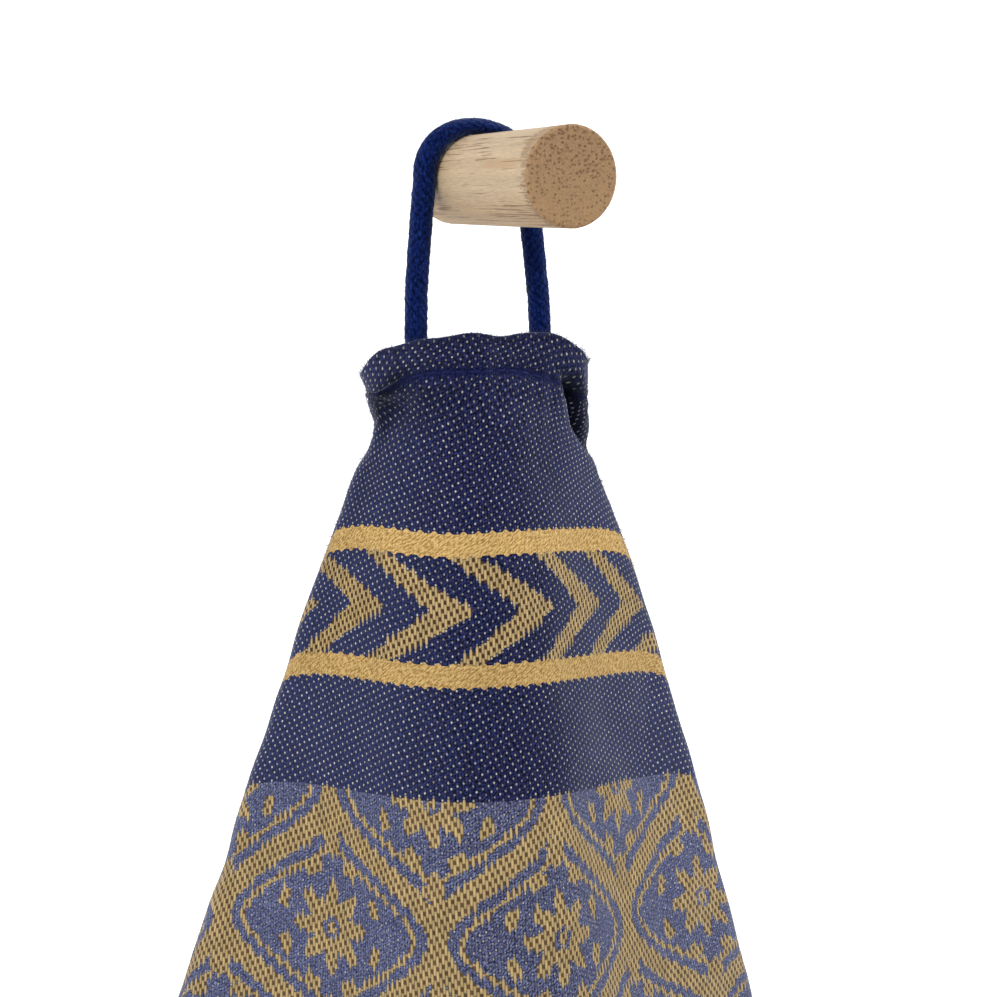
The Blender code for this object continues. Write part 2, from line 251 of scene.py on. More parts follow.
# The border's bands, in millimetres from either end of the cloth
FIRST_GOLD_BAND = (45.4, 50.8)
SECOND_GOLD_BAND = (75.3, 80.4)
BORDER_DEPTH = 105.9
CHEVRON_MIDDLE = 63.2
CHEVRON_HALF_HEIGHT = 12.2
CHEVRON_REACH = 1.22
CHEVRON_PERIOD = 22.5
CHEVRON_TIP = -3.0
CHEVRON_ARM = 22.0
CHEVRON_STROKE = 10.8
CHEVRON_END_STROKE = 6.0

# The field's ogee net and what stands in its cells, in millimetres
NET_WIDTH = 60.0
NET_HEIGHT = 61.03
NET_BAND = 4.9
NET_LINE = (5.3, 6.4)
ROSETTE_PETALS = 8
ROSETTE_RADIUS = 7.8
ROSETTE_WAVE = 2.4
ROSETTE_EYE = 2.6
ROSETTE_RING = (12.4, 15.0)
ROSETTE_RING_GAPS = -0.35
LEAF_PLACE = 19.5
LEAF_SIZE = (2.9, 4.4)

# The satin: rows before it repeats, how many rows it moves up from one column to the next, and a gold
# float's half length, in rows, and half width at the middle, in columns
SATIN_REPEAT = 5
SATIN_STEP = 3
FLOAT_REACH = 2.25
FLOAT_SIDE = 0.56

# The camera at the photograph's view
CAMERA_PLACE = (-0.11897, -0.2976, -0.00478)
CAMERA_AZIMUTH = math.radians(-23.641)
CAMERA_PITCH = math.radians(12.78)
CAMERA_LENS = 47.233


def linear(red, green, blue):
    """A colour given as the eight-bit values that a screen shows."""
    shown = (c / 255 for c in (red, green, blue))
    return tuple(c / 12.92 if c < 0.04045 else ((c + 0.055) / 1.055) ** 2.4 for c in shown)


def colour_property(name, description, red, green, blue):
    return bpy.props.FloatVectorProperty(
        name=name, description=description, default=linear(red, green, blue), subtype="COLOR", size=3,
        min=0, max=1)


def length_property(name, description, default):
    return bpy.props.FloatProperty(
        name=name, description=description, default=default, unit="LENGTH", subtype="DISTANCE", min=0,
        precision=5)


class TowelSettings(bpy.types.PropertyGroup):
    width: length_property("Width", "Width of the flat cloth", 500 * MM)
    length: length_property("Length", "Length of the hemmed cloth", 700 * MM)
    hem: length_property("Hem", "Depth of the hem that is turned to the back", 9.5 * MM)
    hem_edge: length_property("Hem edge", "How far the turned hem goes past its stitching", 1.6 * MM)
    thickness: length_property("Thickness", "Thickness of one layer of the cloth", 0.8 * MM)
    warp_pitch: length_property("Warp pitch", "Distance between threads across the cloth", 0.70 * MM)
    weft_pitch: length_property("Weft pitch", "Distance between threads down the cloth", 0.64 * MM)
    navy: colour_property("Navy", "Colour of the dark yarn", 14, 18, 42)
    royal: colour_property("Royal", "Colour of the dark yarn where it is lit or worn", 48, 57, 112)
    plum: colour_property("Plum", "Colour of some of the dark yarn's fibres", 60, 58, 88)
    steel_dark: colour_property("Steel dark", "Dark yarn of the field's ground", 56, 61, 98)
    steel: colour_property("Steel", "Light yarn of the field's ground", 126, 132, 168)
    gold: colour_property("Gold", "Colour of the gold yarn", 186, 161, 115)
    cream: colour_property("Cream", "Colour of the gold yarn's dots on navy", 200, 198, 186)
    band: colour_property("Band", "Colour of the solid gold bands", 211, 179, 119)
    band_shade: colour_property("Band shade", "Colour between the gold bands' strokes", 162, 124, 68)
    speck: colour_property("Speck", "Colour of the dark yarn's points in the gold", 56, 33, 22)
    # The towel's lint colour is laid on towards the flanks: partly a real haze of lint and partly painted
    # sheen.
    lint: colour_property("Lint", "Colour of the haze of lint on the folds", 122, 132, 180)
    thread: colour_property("Thread", "Colour of the sewing thread", 16, 26, 78)


class LoopSettings(bpy.types.PropertyGroup):
    diameter: length_property("Diameter", "Diameter of the cord", 5 * MM)
    strands: bpy.props.IntProperty(
        name="Strands", description="Strands of the braid in each direction", default=8, min=4, max=16)
    lay: length_property("Lay", "Length of one turn of a strand", 17 * MM)
    colour: colour_property("Colour", "Colour of the cord", 12, 32, 90)
    lint: colour_property("Lint", "Colour of the pale lint on the cord", 58, 82, 146)


class PegSettings(bpy.types.PropertyGroup):
    side: colour_property("Side", "Colour of the peg's long side", 180, 158, 129)
    low_side: colour_property("Low side", "Colour of the long side underneath", 196, 160, 118)
    crack: colour_property("Crack", "Colour of the fine cracks along the side", 124, 78, 40)
    end: colour_property("End", "Colour of the cut end", 168, 134, 98)
    stripe: colour_property("Stripe", "Colour of the orange streak along the side", 164, 124, 78)
    stripe_height: bpy.props.FloatProperty(
        name="Stripe height", description="Height of the orange streak above the peg's axis",
        default=2.6 * MM, unit="LENGTH", subtype="DISTANCE", precision=5)
    pore: colour_property("Pore", "Colour of the pores in the cut end", 106, 72, 46)


class StageSettings(bpy.types.PropertyGroup):
    key_light: bpy.props.FloatProperty(
        name="Key light", description="Power of the soft light at the upper left in watts", default=13.5,
        min=0)
    background: bpy.props.FloatProperty(
        name="Background", description="Strength of the pale surroundings", default=0.52, min=0)


def smooth_step(value, start=0, end=1):
    """0 up to the start, 1 past the end and an even curve between."""
    t = np.clip((value - start) / (end - start), 0, 1)
    return t * t * (3 - 2 * t)


def plateau(value, grow_from, grow_to, fade_from, fade_to):
    """1 along a stretch, with an even curve from 0 before it and back to 0 after it."""
    return smooth_step(value, grow_from, grow_to) * (1 - smooth_step(value, fade_from, fade_to))


def bell(t):
    """1 at 0, falling to nothing within about two either way."""
    return np.exp(-t * t)


def unit(vectors):
    """The same directions, each with a length of 1."""
    return vectors / np.linalg.norm(vectors, axis=-1, keepdims=True)


def curve_through(at, values, slopes, x):
    """A smooth curve through values at places, with the slopes that it has there."""
    i = np.clip(np.searchsorted(at, x, side="right") - 1, 0, len(at) - 2)
    width = at[i + 1] - at[i]
    t = (x - at[i]) / width
    if values.ndim > 1:
        width, t = width[:, None], t[:, None]
    start = (1 + 2 * t) * (1 - t) ** 2 * values[i] + t * (1 - t) ** 2 * width * slopes[i]
    end = t * t * (3 - 2 * t) * values[i + 1] + t * t * (t - 1) * width * slopes[i + 1]
    return start + end


def through_rows(at, values, x):
    """A smooth curve through a table's rows that never overshoots them."""
    at = np.asarray(at, float)
    values = np.asarray(values, float)
    widths = np.diff(at)
    rises = np.diff(values) / widths
    slopes = np.concatenate([rises[:1], np.zeros(len(at) - 2), rises[-1:]])
    for i in range(1, len(at) - 1):
        if rises[i - 1] * rises[i] > 0:
            before = (2 * widths[i] + widths[i - 1]) / rises[i - 1]
            after = (widths[i] + 2 * widths[i - 1]) / rises[i]
            slopes[i] = 3 * (widths[i - 1] + widths[i]) / (before + after)
    return curve_through(at, values, slopes, np.clip(x, at[0], at[-1]))


def section_value(name, level):
    """One column of the sections' table, read at any level."""
    column = SECTION_COLUMNS.index(name)
    return through_rows([row[0] for row in SECTIONS], [row[column] for row in SECTIONS], level)


def section_heading(level, arc):
    """Heading of the cloth, in radians, at an arc from the ridge of one level's section."""
    row = {name: section_value(name, level) for name in SECTION_COLUMNS[1:]}
    ridge = smooth_step(arc / row["ridge_round"], *RIDGE_TURNS)
    heading = row["left_heading"] + (row["right_heading"] - row["left_heading"]) * ridge

    first_level, last_level = UPRIGHT_LEVELS
    down = (level - first_level) / (last_level - first_level)
    for first_arc, last_arc, half_width, swing in UPRIGHT_FOLDS:
        t = (arc - first_arc - (last_arc - first_arc) * down) / half_width
        heading = heading + row["wave"] * swing * t * np.exp(0.5 - 0.5 * t * t)

    def turns(side, sign):
        """How far the cloth has gone round each of one side's three folds, from 0 to 1."""
        rounds = {"_fold": side + "_round", "_inner_fold": "inner_round", "_last_fold": "inner_round"}
        for fold, half in rounds.items():
            yield smooth_step(sign * (arc - row[side + fold]), -row[half], row[half])

    outer, inner, last = turns("right", 1)
    heading = heading + (row["return_heading"] - row["right_heading"]) * outer
    heading = heading - (row["return_heading"] - row["inner_heading"]) * inner + LAST_FOLD_TURN * last
    outer, inner, last = turns("left", -1)
    heading = heading - (row["left_heading"] + WALL_PANEL_HEADING) * outer
    heading = heading - (360 - WALL_PANEL_HEADING - LEFT_INNER_HEADING) * inner + LAST_FOLD_TURN * last
    return np.radians(heading)


def relief(level, arc):
    """How far the cloth stands out of its section: the valley beside the front panel."""
    upper_arc, lower_arc, depth, half_width = VALLEY
    upper_level, lower_level = VALLEY_LEVELS
    down = (level - upper_level) / (lower_level - upper_level)
    middle = upper_arc + (lower_arc - upper_arc) * down
    return -depth * plateau(down, *VALLEY_EXTENT) * bell((arc - middle) / half_width)


def shoulder_drop(level, angle):
    """How far the hem's shoulders hang below the fan."""
    across = level * np.sin(angle)
    drop = np.zeros_like(across)
    for side, start, end, depth in SHOULDERS:
        drop = drop + depth * smooth_step(side * across, start, end)
    return drop * (1 - smooth_step(level, *SHOULDER_FADE_LEVELS))


def spline_weights(t):
    """Weights of four even points for a smooth curve between the middle two."""
    return (
        (-t + 2 * t ** 2 - t ** 3) / 2,
        (2 - 5 * t ** 2 + 3 * t ** 3) / 2,
        (t + 4 * t ** 2 - 3 * t ** 3) / 2,
        (t ** 3 - t ** 2) / 2,
    )


class Fan:
    """The hanging cloth on a grid of levels and angles of the fan, in millimetres."""

    LEVEL_STEP = 4.0
    LEVEL_COUNT = 204
    ANGLE_STEP = math.radians(0.25)
    ANGLE_LIMIT = math.radians(80)
    LEAST_FALL = 0.12
    LEAST_SHARE = 0.25
    ROUNDS = 4

    def __init__(self):
        level = (np.arange(self.LEVEL_COUNT) * self.LEVEL_STEP)[:, None]
        half_count = round(self.ANGLE_LIMIT / self.ANGLE_STEP)
        self.angle = np.arange(-half_count, half_count + 1) * self.ANGLE_STEP
        arc = level * self.angle[None, :]
        heading = section_heading(level, arc)
        share = np.ones_like(arc)
        for _ in range(self.ROUNDS):
            x = section_value("ridge_x", level) + self.along(share * np.cos(heading), arc, half_count)
            y = section_value("ridge_y", level) + self.along(share * np.sin(heading), arc, half_count)
            sideways = (np.diff(x, axis=0) ** 2 + np.diff(y, axis=0) ** 2) / self.LEVEL_STEP ** 2
            fall = np.sqrt(np.clip(1 - sideways, self.LEAST_FALL, 1))
            z = np.zeros_like(arc)
            z[1:] = -np.cumsum(fall * self.LEVEL_STEP, axis=0)
            slope = np.gradient(z, axis=1) / np.maximum(np.gradient(arc, axis=1), 1e-6)
            share = np.sqrt(np.clip(1 - slope ** 2, self.LEAST_SHARE, 1))
            share[0] = share[1]
        out = relief(level, arc)
        x = x + out * np.sin(heading)
        y = y - out * np.cos(heading)
        z = z + FAN_TOP_Z - shoulder_drop(level, self.angle[None, :])
        self.points = np.stack([x, y, z], axis=-1)

    @staticmethod
    def along(values, arc, middle):
        """Sum of the values along each section, counted from its ridge."""
        steps = 0.5 * (values[:, 1:] + values[:, :-1]) * np.diff(arc, axis=1)
        total = np.concatenate([np.zeros((len(arc), 1)), np.cumsum(steps, axis=1)], axis=1)
        return total - total[:, middle:middle + 1]

    def at(self, across, down):
        """Places in space of points of the flat cloth."""
        down = np.asarray(down, float) + FAN_ABOVE_HEM
        row = np.hypot(across, down) / self.LEVEL_STEP
        column = (np.arctan2(across, down) - self.angle[0]) / self.ANGLE_STEP
        i = np.clip(row.astype(int), 1, self.points.shape[0] - 3)
        j = np.clip(column.astype(int), 1, self.points.shape[1] - 3)
        place = 0
        for di, wi in zip((-1, 0, 1, 2), spline_weights(row - i)):
            for dj, wj in zip((-1, 0, 1, 2), spline_weights(column - j)):
                place = place + (wi * wj)[..., None] * self.points[i + di, j + dj]
        return place


def fold_path(name, down):
    """Where a fold runs on the flat cloth: its places across it at places down it."""
    level = np.arange(FAN_ABOVE_HEM, Fan.LEVEL_STEP * Fan.LEVEL_COUNT, Fan.LEVEL_STEP / 2)
    angle = section_value(name, level) / level
    return np.interp(down, level * np.cos(angle) - FAN_ABOVE_HEM, level * np.sin(angle))


def below_hem(down):
    """How far below the hem, counted down to the hollows' lower ends."""
    return np.clip(down - UNDER_HEM, 0, HOLLOWS_DOWN)


def fold_reach(across, down):
    """How far the rims of the two side folds stand out to their sides, as a shift to the right."""
    lower = smooth_step(down, *REACH_LOWER)
    shift = 0
    for fold, side, reaches, (near, moves_out, low), (near_growth, low_growth), past in FOLD_REACHES:
        start = (near + moves_out * below_hem(down)) * (1 - lower) + low * lower
        growth = near_growth + (low_growth - near_growth) * lower
        reach = np.interp(down, FOLD_REACH_DOWN, reaches)
        reach = reach * smooth_step(side * across, start, start + growth)
        reach = reach * (1 - smooth_step(side * (across - fold_path(fold, down)), *past))
        shift = shift + side * reach
    return shift


def along_path(across, down, start, end, half_widths, extent):
    """1 on a straight path over the flat cloth, fading to its two sides and at its two ends."""
    share = (down - start[1]) / (end[1] - start[1])
    aside = across - start[0] - (end[0] - start[0]) * share
    return plateau(share, *extent) * bell(aside / np.where(aside < 0, *half_widths))


def hollow(across, down):
    """How far the hollows push the cloth out, which is less than 0 where they take it back."""
    total = 0
    for start, end, depth, half_widths in HOLLOWS:
        total = total - depth * along_path(across, down, start, end, half_widths, HOLLOW_EXTENT)
    return total


def shade_at(across, down):
    """How little light gets in: 0 on the open cloth, towards 1 in the creases under the hem."""
    total = 0
    for start, end, dark, half_widths in SHADES:
        shade = dark * along_path(across, down, start, end, half_widths, SHADE_EXTENT)
        total = np.maximum(total, shade)
    return total


def shoulder_swell(across, down):
    """How far the left shoulder's underside swells towards the room."""
    (middle_across, middle_down), (half_across, half_down), height = SHOULDER_SWELL
    return height * bell((across - middle_across) / half_across) * bell((down - middle_down) / half_down)


def edge_lift(across, down):
    """How far the hem's edge rises above an even line."""
    lift = 0
    for place, half_width, height in EDGE_LIFTS:
        lift = lift + height * bell((across - place) / half_width)
    return lift * (1 - smooth_step(down, 0, EDGE_LIFT_FADE))


class Drape:
    """The towel as it hangs: maps places along its cut length to space, in millimetres.

    A place along is 0 at the top edge's fold and the hemmed length at the bottom edge's, so the turned
    parts of the two hems lie before and after.
    """

    TURN_RADIUS = 0.55
    NORMAL_STEP = 0.6
    SEED = 5
    SWELLS = 26
    SWELL_LENGTHS = (16, 60)
    SWELL_HEIGHTS = (0.02, 0.09)

    def __init__(self, settings):
        self.fan = Fan()
        self.width = settings.width / MM
        self.length = settings.length / MM
        self.hem = settings.hem / MM
        self.turned = self.hem + settings.hem_edge / MM
        self.thickness = settings.thickness / MM
        self.half_turn = self.TURN_RADIUS * math.pi / 2
        random = np.random.default_rng(self.SEED)
        self.swell_waves = 2 * math.pi / random.uniform(*self.SWELL_LENGTHS, (self.SWELLS, 2))
        self.swell_waves *= random.choice([-1, 1], (self.SWELLS, 2))
        self.swell_phases = random.uniform(0, 2 * math.pi, self.SWELLS)
        self.swell_heights = random.uniform(*self.SWELL_HEIGHTS, self.SWELLS)
        self.pucker_phases = random.uniform(0, 2 * math.pi, len(PUCKERS))

    def unfolded(self, along):
        """Down the cloth, depth behind its face and reach past its edge, for places along the cut."""
        radius = self.TURN_RADIUS
        room = radius + self.thickness / 2
        from_top = np.minimum(np.abs(along), np.abs(self.length - along))
        before = np.where(along < self.length / 2, along, self.length - along)
        turn = np.clip(before / radius, -math.pi / 2, math.pi / 2)
        depth = self.thickness / 2 + radius * (1 - np.sin(turn))
        reach = radius * np.cos(turn)
        inside = room + np.maximum(from_top - self.half_turn, 0)
        down = np.where(along < self.length / 2, inside, self.length - inside)
        return down, depth, reach

    def swells(self, across, down):
        """Low uneven swells of handled cloth."""
        total = 0
        for (a, b), phase, height in zip(self.swell_waves, self.swell_phases, self.swell_heights):
            total = total + height * np.sin(a * across + b * down + phase)
        return total

    def sewn_at(self, across):
        """How far below the top edge the hem's stitching runs."""
        below = self.hem - SEWN_ABOVE
        for side, start, end, depth in SEWN_SINKS:
            below = below + depth * smooth_step(side * across, start, end)
        return below

    def woven_place(self, across, along):
        """Where on the woven pattern a place of the cloth lies: across it and along it."""
        down = np.clip(along, 0, self.length)
        lower = 0
        for fold, inward, drop, fades_over in PATTERN_DROPS:
            from_fold = np.maximum(inward * (across - fold_path(fold, down)), 0)
            lower = lower + drop * np.exp(-from_fold / fades_over)
        sewn = (self.hem - self.sewn_at(across)) * bell((down - self.hem) / SEWN_REACH)
        closer = np.interp(across, COLUMN_PLACES, PATTERN_PLACES) - across
        gathered = 0
        for side, start, outward, width, taken_up, fade in GATHERS:
            begin = start + outward * below_hem(down)
            share = smooth_step(side * across, begin, begin + width)
            gathered = gathered + side * taken_up * (1 - smooth_step(down, *fade)) * share
        woven_across = across + closer * plateau(down, *COLUMN_EXTENT) + gathered
        return woven_across, along - lower * plateau(down, *DROP_EXTENT) + sewn

    def stitched(self, across, down):
        """The trough that the stitching pulls in, and the small puckers that run down from it."""
        below = down - self.sewn_at(across)
        depth, half_width = TROUGH
        trough = -depth * bell(below / half_width)
        roll = sum(height * bell((below - place) / half) for height, place, half in ROLLS)
        ripple = 0
        for length, phase in zip(PUCKERS, self.pucker_phases):
            ripple = ripple + np.sin(2 * math.pi * across / length + phase)
        pucker = PUCKER_HEIGHT * ripple * np.exp(-np.abs(below) / PUCKER_REACH)
        return trough + roll * smooth_step(across, *ROLLS_FROM) + pucker

    def at(self, across, along, out=0.0):
        """Places of the cloth's middle, or of what stands out from its face."""
        across = np.asarray(across, float)
        down, depth, reach = self.unfolded(np.asarray(along, float))
        across, down = np.broadcast_arrays(across, down)
        place = self.fan.at(across, down)
        step = self.NORMAL_STEP
        sideways = self.fan.at(across + step, down) - self.fan.at(across - step, down)
        downwards = unit(self.fan.at(across, down + step) - self.fan.at(across, down - step))
        normal = unit(np.cross(downwards, sideways))
        past_edge = np.where(along < self.length / 2, -1, 1) * reach
        stands = self.stitched(across, down) + self.swells(across, down)
        place = place + normal * (stands - depth + out)[..., None]
        place = place + unit(normal * (1, 1, 0)) * hollow(across, down)[..., None]
        place = place + downwards * past_edge[..., None]
        place[..., 0] += fold_reach(across, down)
        place[..., 1] -= shoulder_swell(across, down)
        place[..., 2] += edge_lift(across, down)
        return place, normal

    def rows(self):
        """Places along the cut of the grid's rows: close at the hem's stitching, wider further down."""
        first = self.half_turn
        last = self.length - self.half_turn
        along = list(np.linspace(-self.turned, -first, HEM_ROWS))
        along += list(np.linspace(-first, first, FOLD_OVER_ROWS + 1)[1:])
        turned_rows = len(along) - 1
        while along[-1] < last:
            grown = ROW_FIRST + ROW_GROWTH * max(along[-1] - ROW_EVEN_TO, 0)
            along.append(along[-1] + min(grown, ROW_LAST))
        front = np.array(along[turned_rows:])
        front = first + (front - first) * (last - first) / (front[-1] - first)
        along[turned_rows:] = list(front)
        along += [self.length - place for place in along[:turned_rows][::-1]]
        return np.array(along)

    def columns(self, down):
        """Places across of the grid's columns, which follow the folds, at places down the cloth."""
        edge = self.width / 2
        limit = edge - INNER_FOLD_EDGE_ROOM
        stops = [-edge + 0 * down]
        for fold, rounds in FOLDS_ACROSS:
            middle = np.clip(fold_path(fold, down), -limit, limit)
            half = section_value(rounds, down + FAN_ABOVE_HEM)
            stops += [middle + share * half for share in FOLD_LINES]
        stops.append(edge + 0 * down)
        cells = [CELLS_BETWEEN[0]]
        for between in CELLS_BETWEEN[1:]:
            cells += [1] * (len(FOLD_LINES) - 1) + [between]
        lines = [stops[0]]
        for start, end, count in zip(stops, stops[1:], cells):
            lines += [start + (end - start) * step / count for step in range(1, count + 1)]
        return np.stack(lines, axis=1)


def forward(operation):
    """A method that feeds a wire and then its arguments to a Math node."""
    return lambda wire, *others: wire.maths(operation, wire, *others)


def reflected(operation):
    """A method for a number that stands before the wire."""
    return lambda wire, other: wire.maths(operation, other, wire)


class Wire:
    """A socket in a finish's nodes that can be used in sums as a number is."""

    def __init__(self, finish, socket):
        self.finish = finish
        self.socket = socket

    def maths(self, operation, *values):
        return self.finish.node("Math", {"operation": operation}, dict(enumerate(values)))

    __add__ = __radd__ = forward("ADD")
    __sub__ = forward("SUBTRACT")
    __rsub__ = reflected("SUBTRACT")
    __mul__ = __rmul__ = forward("MULTIPLY")
    __truediv__ = forward("DIVIDE")
    __rtruediv__ = reflected("DIVIDE")
    __mod__ = forward("FLOORED_MODULO")
    __lt__ = forward("LESS_THAN")
    __gt__ = forward("GREATER_THAN")
    __abs__ = forward("ABSOLUTE")
    floor = forward("FLOOR")
    root = forward("SQRT")
    cosine = forward("COSINE")
    sine = forward("SINE")
    least = forward("MINIMUM")
    most = forward("MAXIMUM")

    def within(self, low, high):
        """1 between the two and 0 elsewhere."""
        return (self > low) * (self < high)

    def smooth(self, low, high):
        """0 before low and 1 past high, with an even curve between; low may be the larger."""
        sockets = {"Value": self, "From Min": low, "From Max": high}
        return self.finish.node("MapRange", {"interpolation_type": "SMOOTHSTEP"}, sockets)

    def parts(self):
        return [self.finish.node("SeparateXYZ", {}, {0: self}, output=axis) for axis in range(3)]


class Finish:
    """A material in the making: each call adds a node and gives back its output."""

    def __init__(self, name, **constants):
        self.material = bpy.data.materials.new(name)
        self.material.use_nodes = True
        self.tree = self.material.node_tree
        self.shader = self.tree.nodes["Principled BSDF"]
        for socket, value in constants.items():
            self.shader.inputs[socket.replace("_", " ")].default_value = value

    def feed(self, socket, value):
        if isinstance(value, Wire):
            self.tree.links.new(value.socket, socket)
        else:
            socket.default_value = value

    def node(self, kind, settings=None, sockets=None, output=0):
        made = self.tree.nodes.new("ShaderNode" + kind)
        for name, value in (settings or {}).items():
            setattr(made, name, value)
        for name, value in (sockets or {}).items():
            self.feed(made.inputs[name], value)
        return Wire(self, made.outputs[output])

    def vector(self, x=0.0, y=0.0, z=0.0):
        return self.node("CombineXYZ", {}, {"X": x, "Y": y, "Z": z})

    def chance(self, x, y):
        """An even random number for each pair of whole numbers."""
        return self.node("TexWhiteNoise", {"noise_dimensions": "2D"}, {"Vector": self.vector(x, y)})

    def noise(self, place, scale, detail=2.0, roughness=0.5):
        sockets = {"Vector": place, "Scale": scale, "Detail": detail, "Roughness": roughness}
        return self.node("TexNoise", {}, sockets)

    def place(self, stretch=(1.0, 1.0, 1.0)):
        """The point's place on the piece, in metres, squeezed along each axis."""
        place = self.node("TexCoord", output="Object")
        return self.node("VectorMath", {"operation": "MULTIPLY"}, {0: place, 1: stretch})

    def mixed(self, share, first, second):
        """A colour between two colours."""
        first, second = (c if isinstance(c, Wire) else (*c, 1.0) for c in (first, second))
        return self.node("Mix", {"data_type": "RGBA"}, {0: share, 6: first, 7: second}, output=2)

    def dimmed(self, colour, value):
        """A colour made darker or lighter."""
        return self.node("VectorMath", {"operation": "SCALE"}, {0: colour, "Scale": value})

    def finished(self, colour, height, depth, **others):
        """Joins the colour, the relief and whatever else varies to the shader."""
        bump = self.node("Bump", {}, {"Strength": 1.0, "Distance": depth, "Height": height})
        self.feed(self.shader.inputs["Base Color"], colour)
        self.feed(self.shader.inputs["Normal"], bump)
        for socket, value in others.items():
            self.feed(self.shader.inputs[socket.replace("_", " ")], value)
        return self.material


def chevron_border(across, from_end):
    """1 on the gold chevrons between the border's two gold bands."""
    outward = abs(from_end - CHEVRON_MIDDLE) * (1 / CHEVRON_HALF_HEIGHT)
    behind_tip = (CHEVRON_TIP - across - outward * CHEVRON_ARM) % CHEVRON_PERIOD
    stroke = CHEVRON_STROKE - (CHEVRON_STROKE - CHEVRON_END_STROKE) * outward
    return (behind_tip < stroke) * (outward < CHEVRON_REACH)


def cell_place(u, w):
    """Where in its own cell a point of an even grid lies, from the cell's middle, and how far from it."""
    x = (u % 1 - 0.5) * NET_WIDTH
    y = (w % 1 - 0.5) * NET_HEIGHT
    return x, y, (x * x + y * y).root()


def ogee_field(finish, across, from_end):
    """1 on the gold of the main field: an ogee net with an eight-petal rosette in each of its cells."""
    u = across * (1 / NET_WIDTH)
    w = (from_end - BORDER_DEPTH) * (1 / NET_HEIGHT)
    sway = (w * (2 * math.pi)).cosine() * 0.25
    steepness = (w * (2 * math.pi)).sine() * (0.5 * math.pi * NET_WIDTH / NET_HEIGHT)
    narrower = 1 / (steepness * steepness + 1).root()
    even = abs((u - sway + 0.5) % 1 - 0.5)
    odd = abs((u + sway) % 1 - 0.5)
    from_net = even.least(odd) * narrower * NET_WIDTH
    net = (from_net < NET_BAND / 2) + from_net.within(*NET_LINE)

    x_first, y_first, r_first = cell_place(u + 0.25, w)
    x_other, y_other, r_other = cell_place(u - 0.25, w + 0.5)
    first = r_first < r_other
    x = x_other + (x_first - x_other) * first
    y = y_other + (y_first - y_other) * first
    r = r_first.least(r_other)
    petals = (finish.node("Math", {"operation": "ARCTAN2"}, {0: y, 1: x}) * ROSETTE_PETALS).cosine()
    rosette = (r < petals * ROSETTE_WAVE + ROSETTE_RADIUS) * (r > ROSETTE_EYE) + (r < ROSETTE_EYE / 2)
    ring = r.within(*ROSETTE_RING) * (petals < ROSETTE_RING_GAPS)
    leaf = abs(abs(y) - LEAF_PLACE) * (1 / LEAF_SIZE[1]) + abs(x) * (1 / LEAF_SIZE[0]) < 1
    return (net + rosette + ring + leaf).least(1)


def gold_figures(finish, across, from_end):
    """1 on the border's chevrons and on the figures of the main field."""
    field = from_end > BORDER_DEPTH
    return chevron_border(across, from_end) + ogee_field(finish, across, from_end) * field


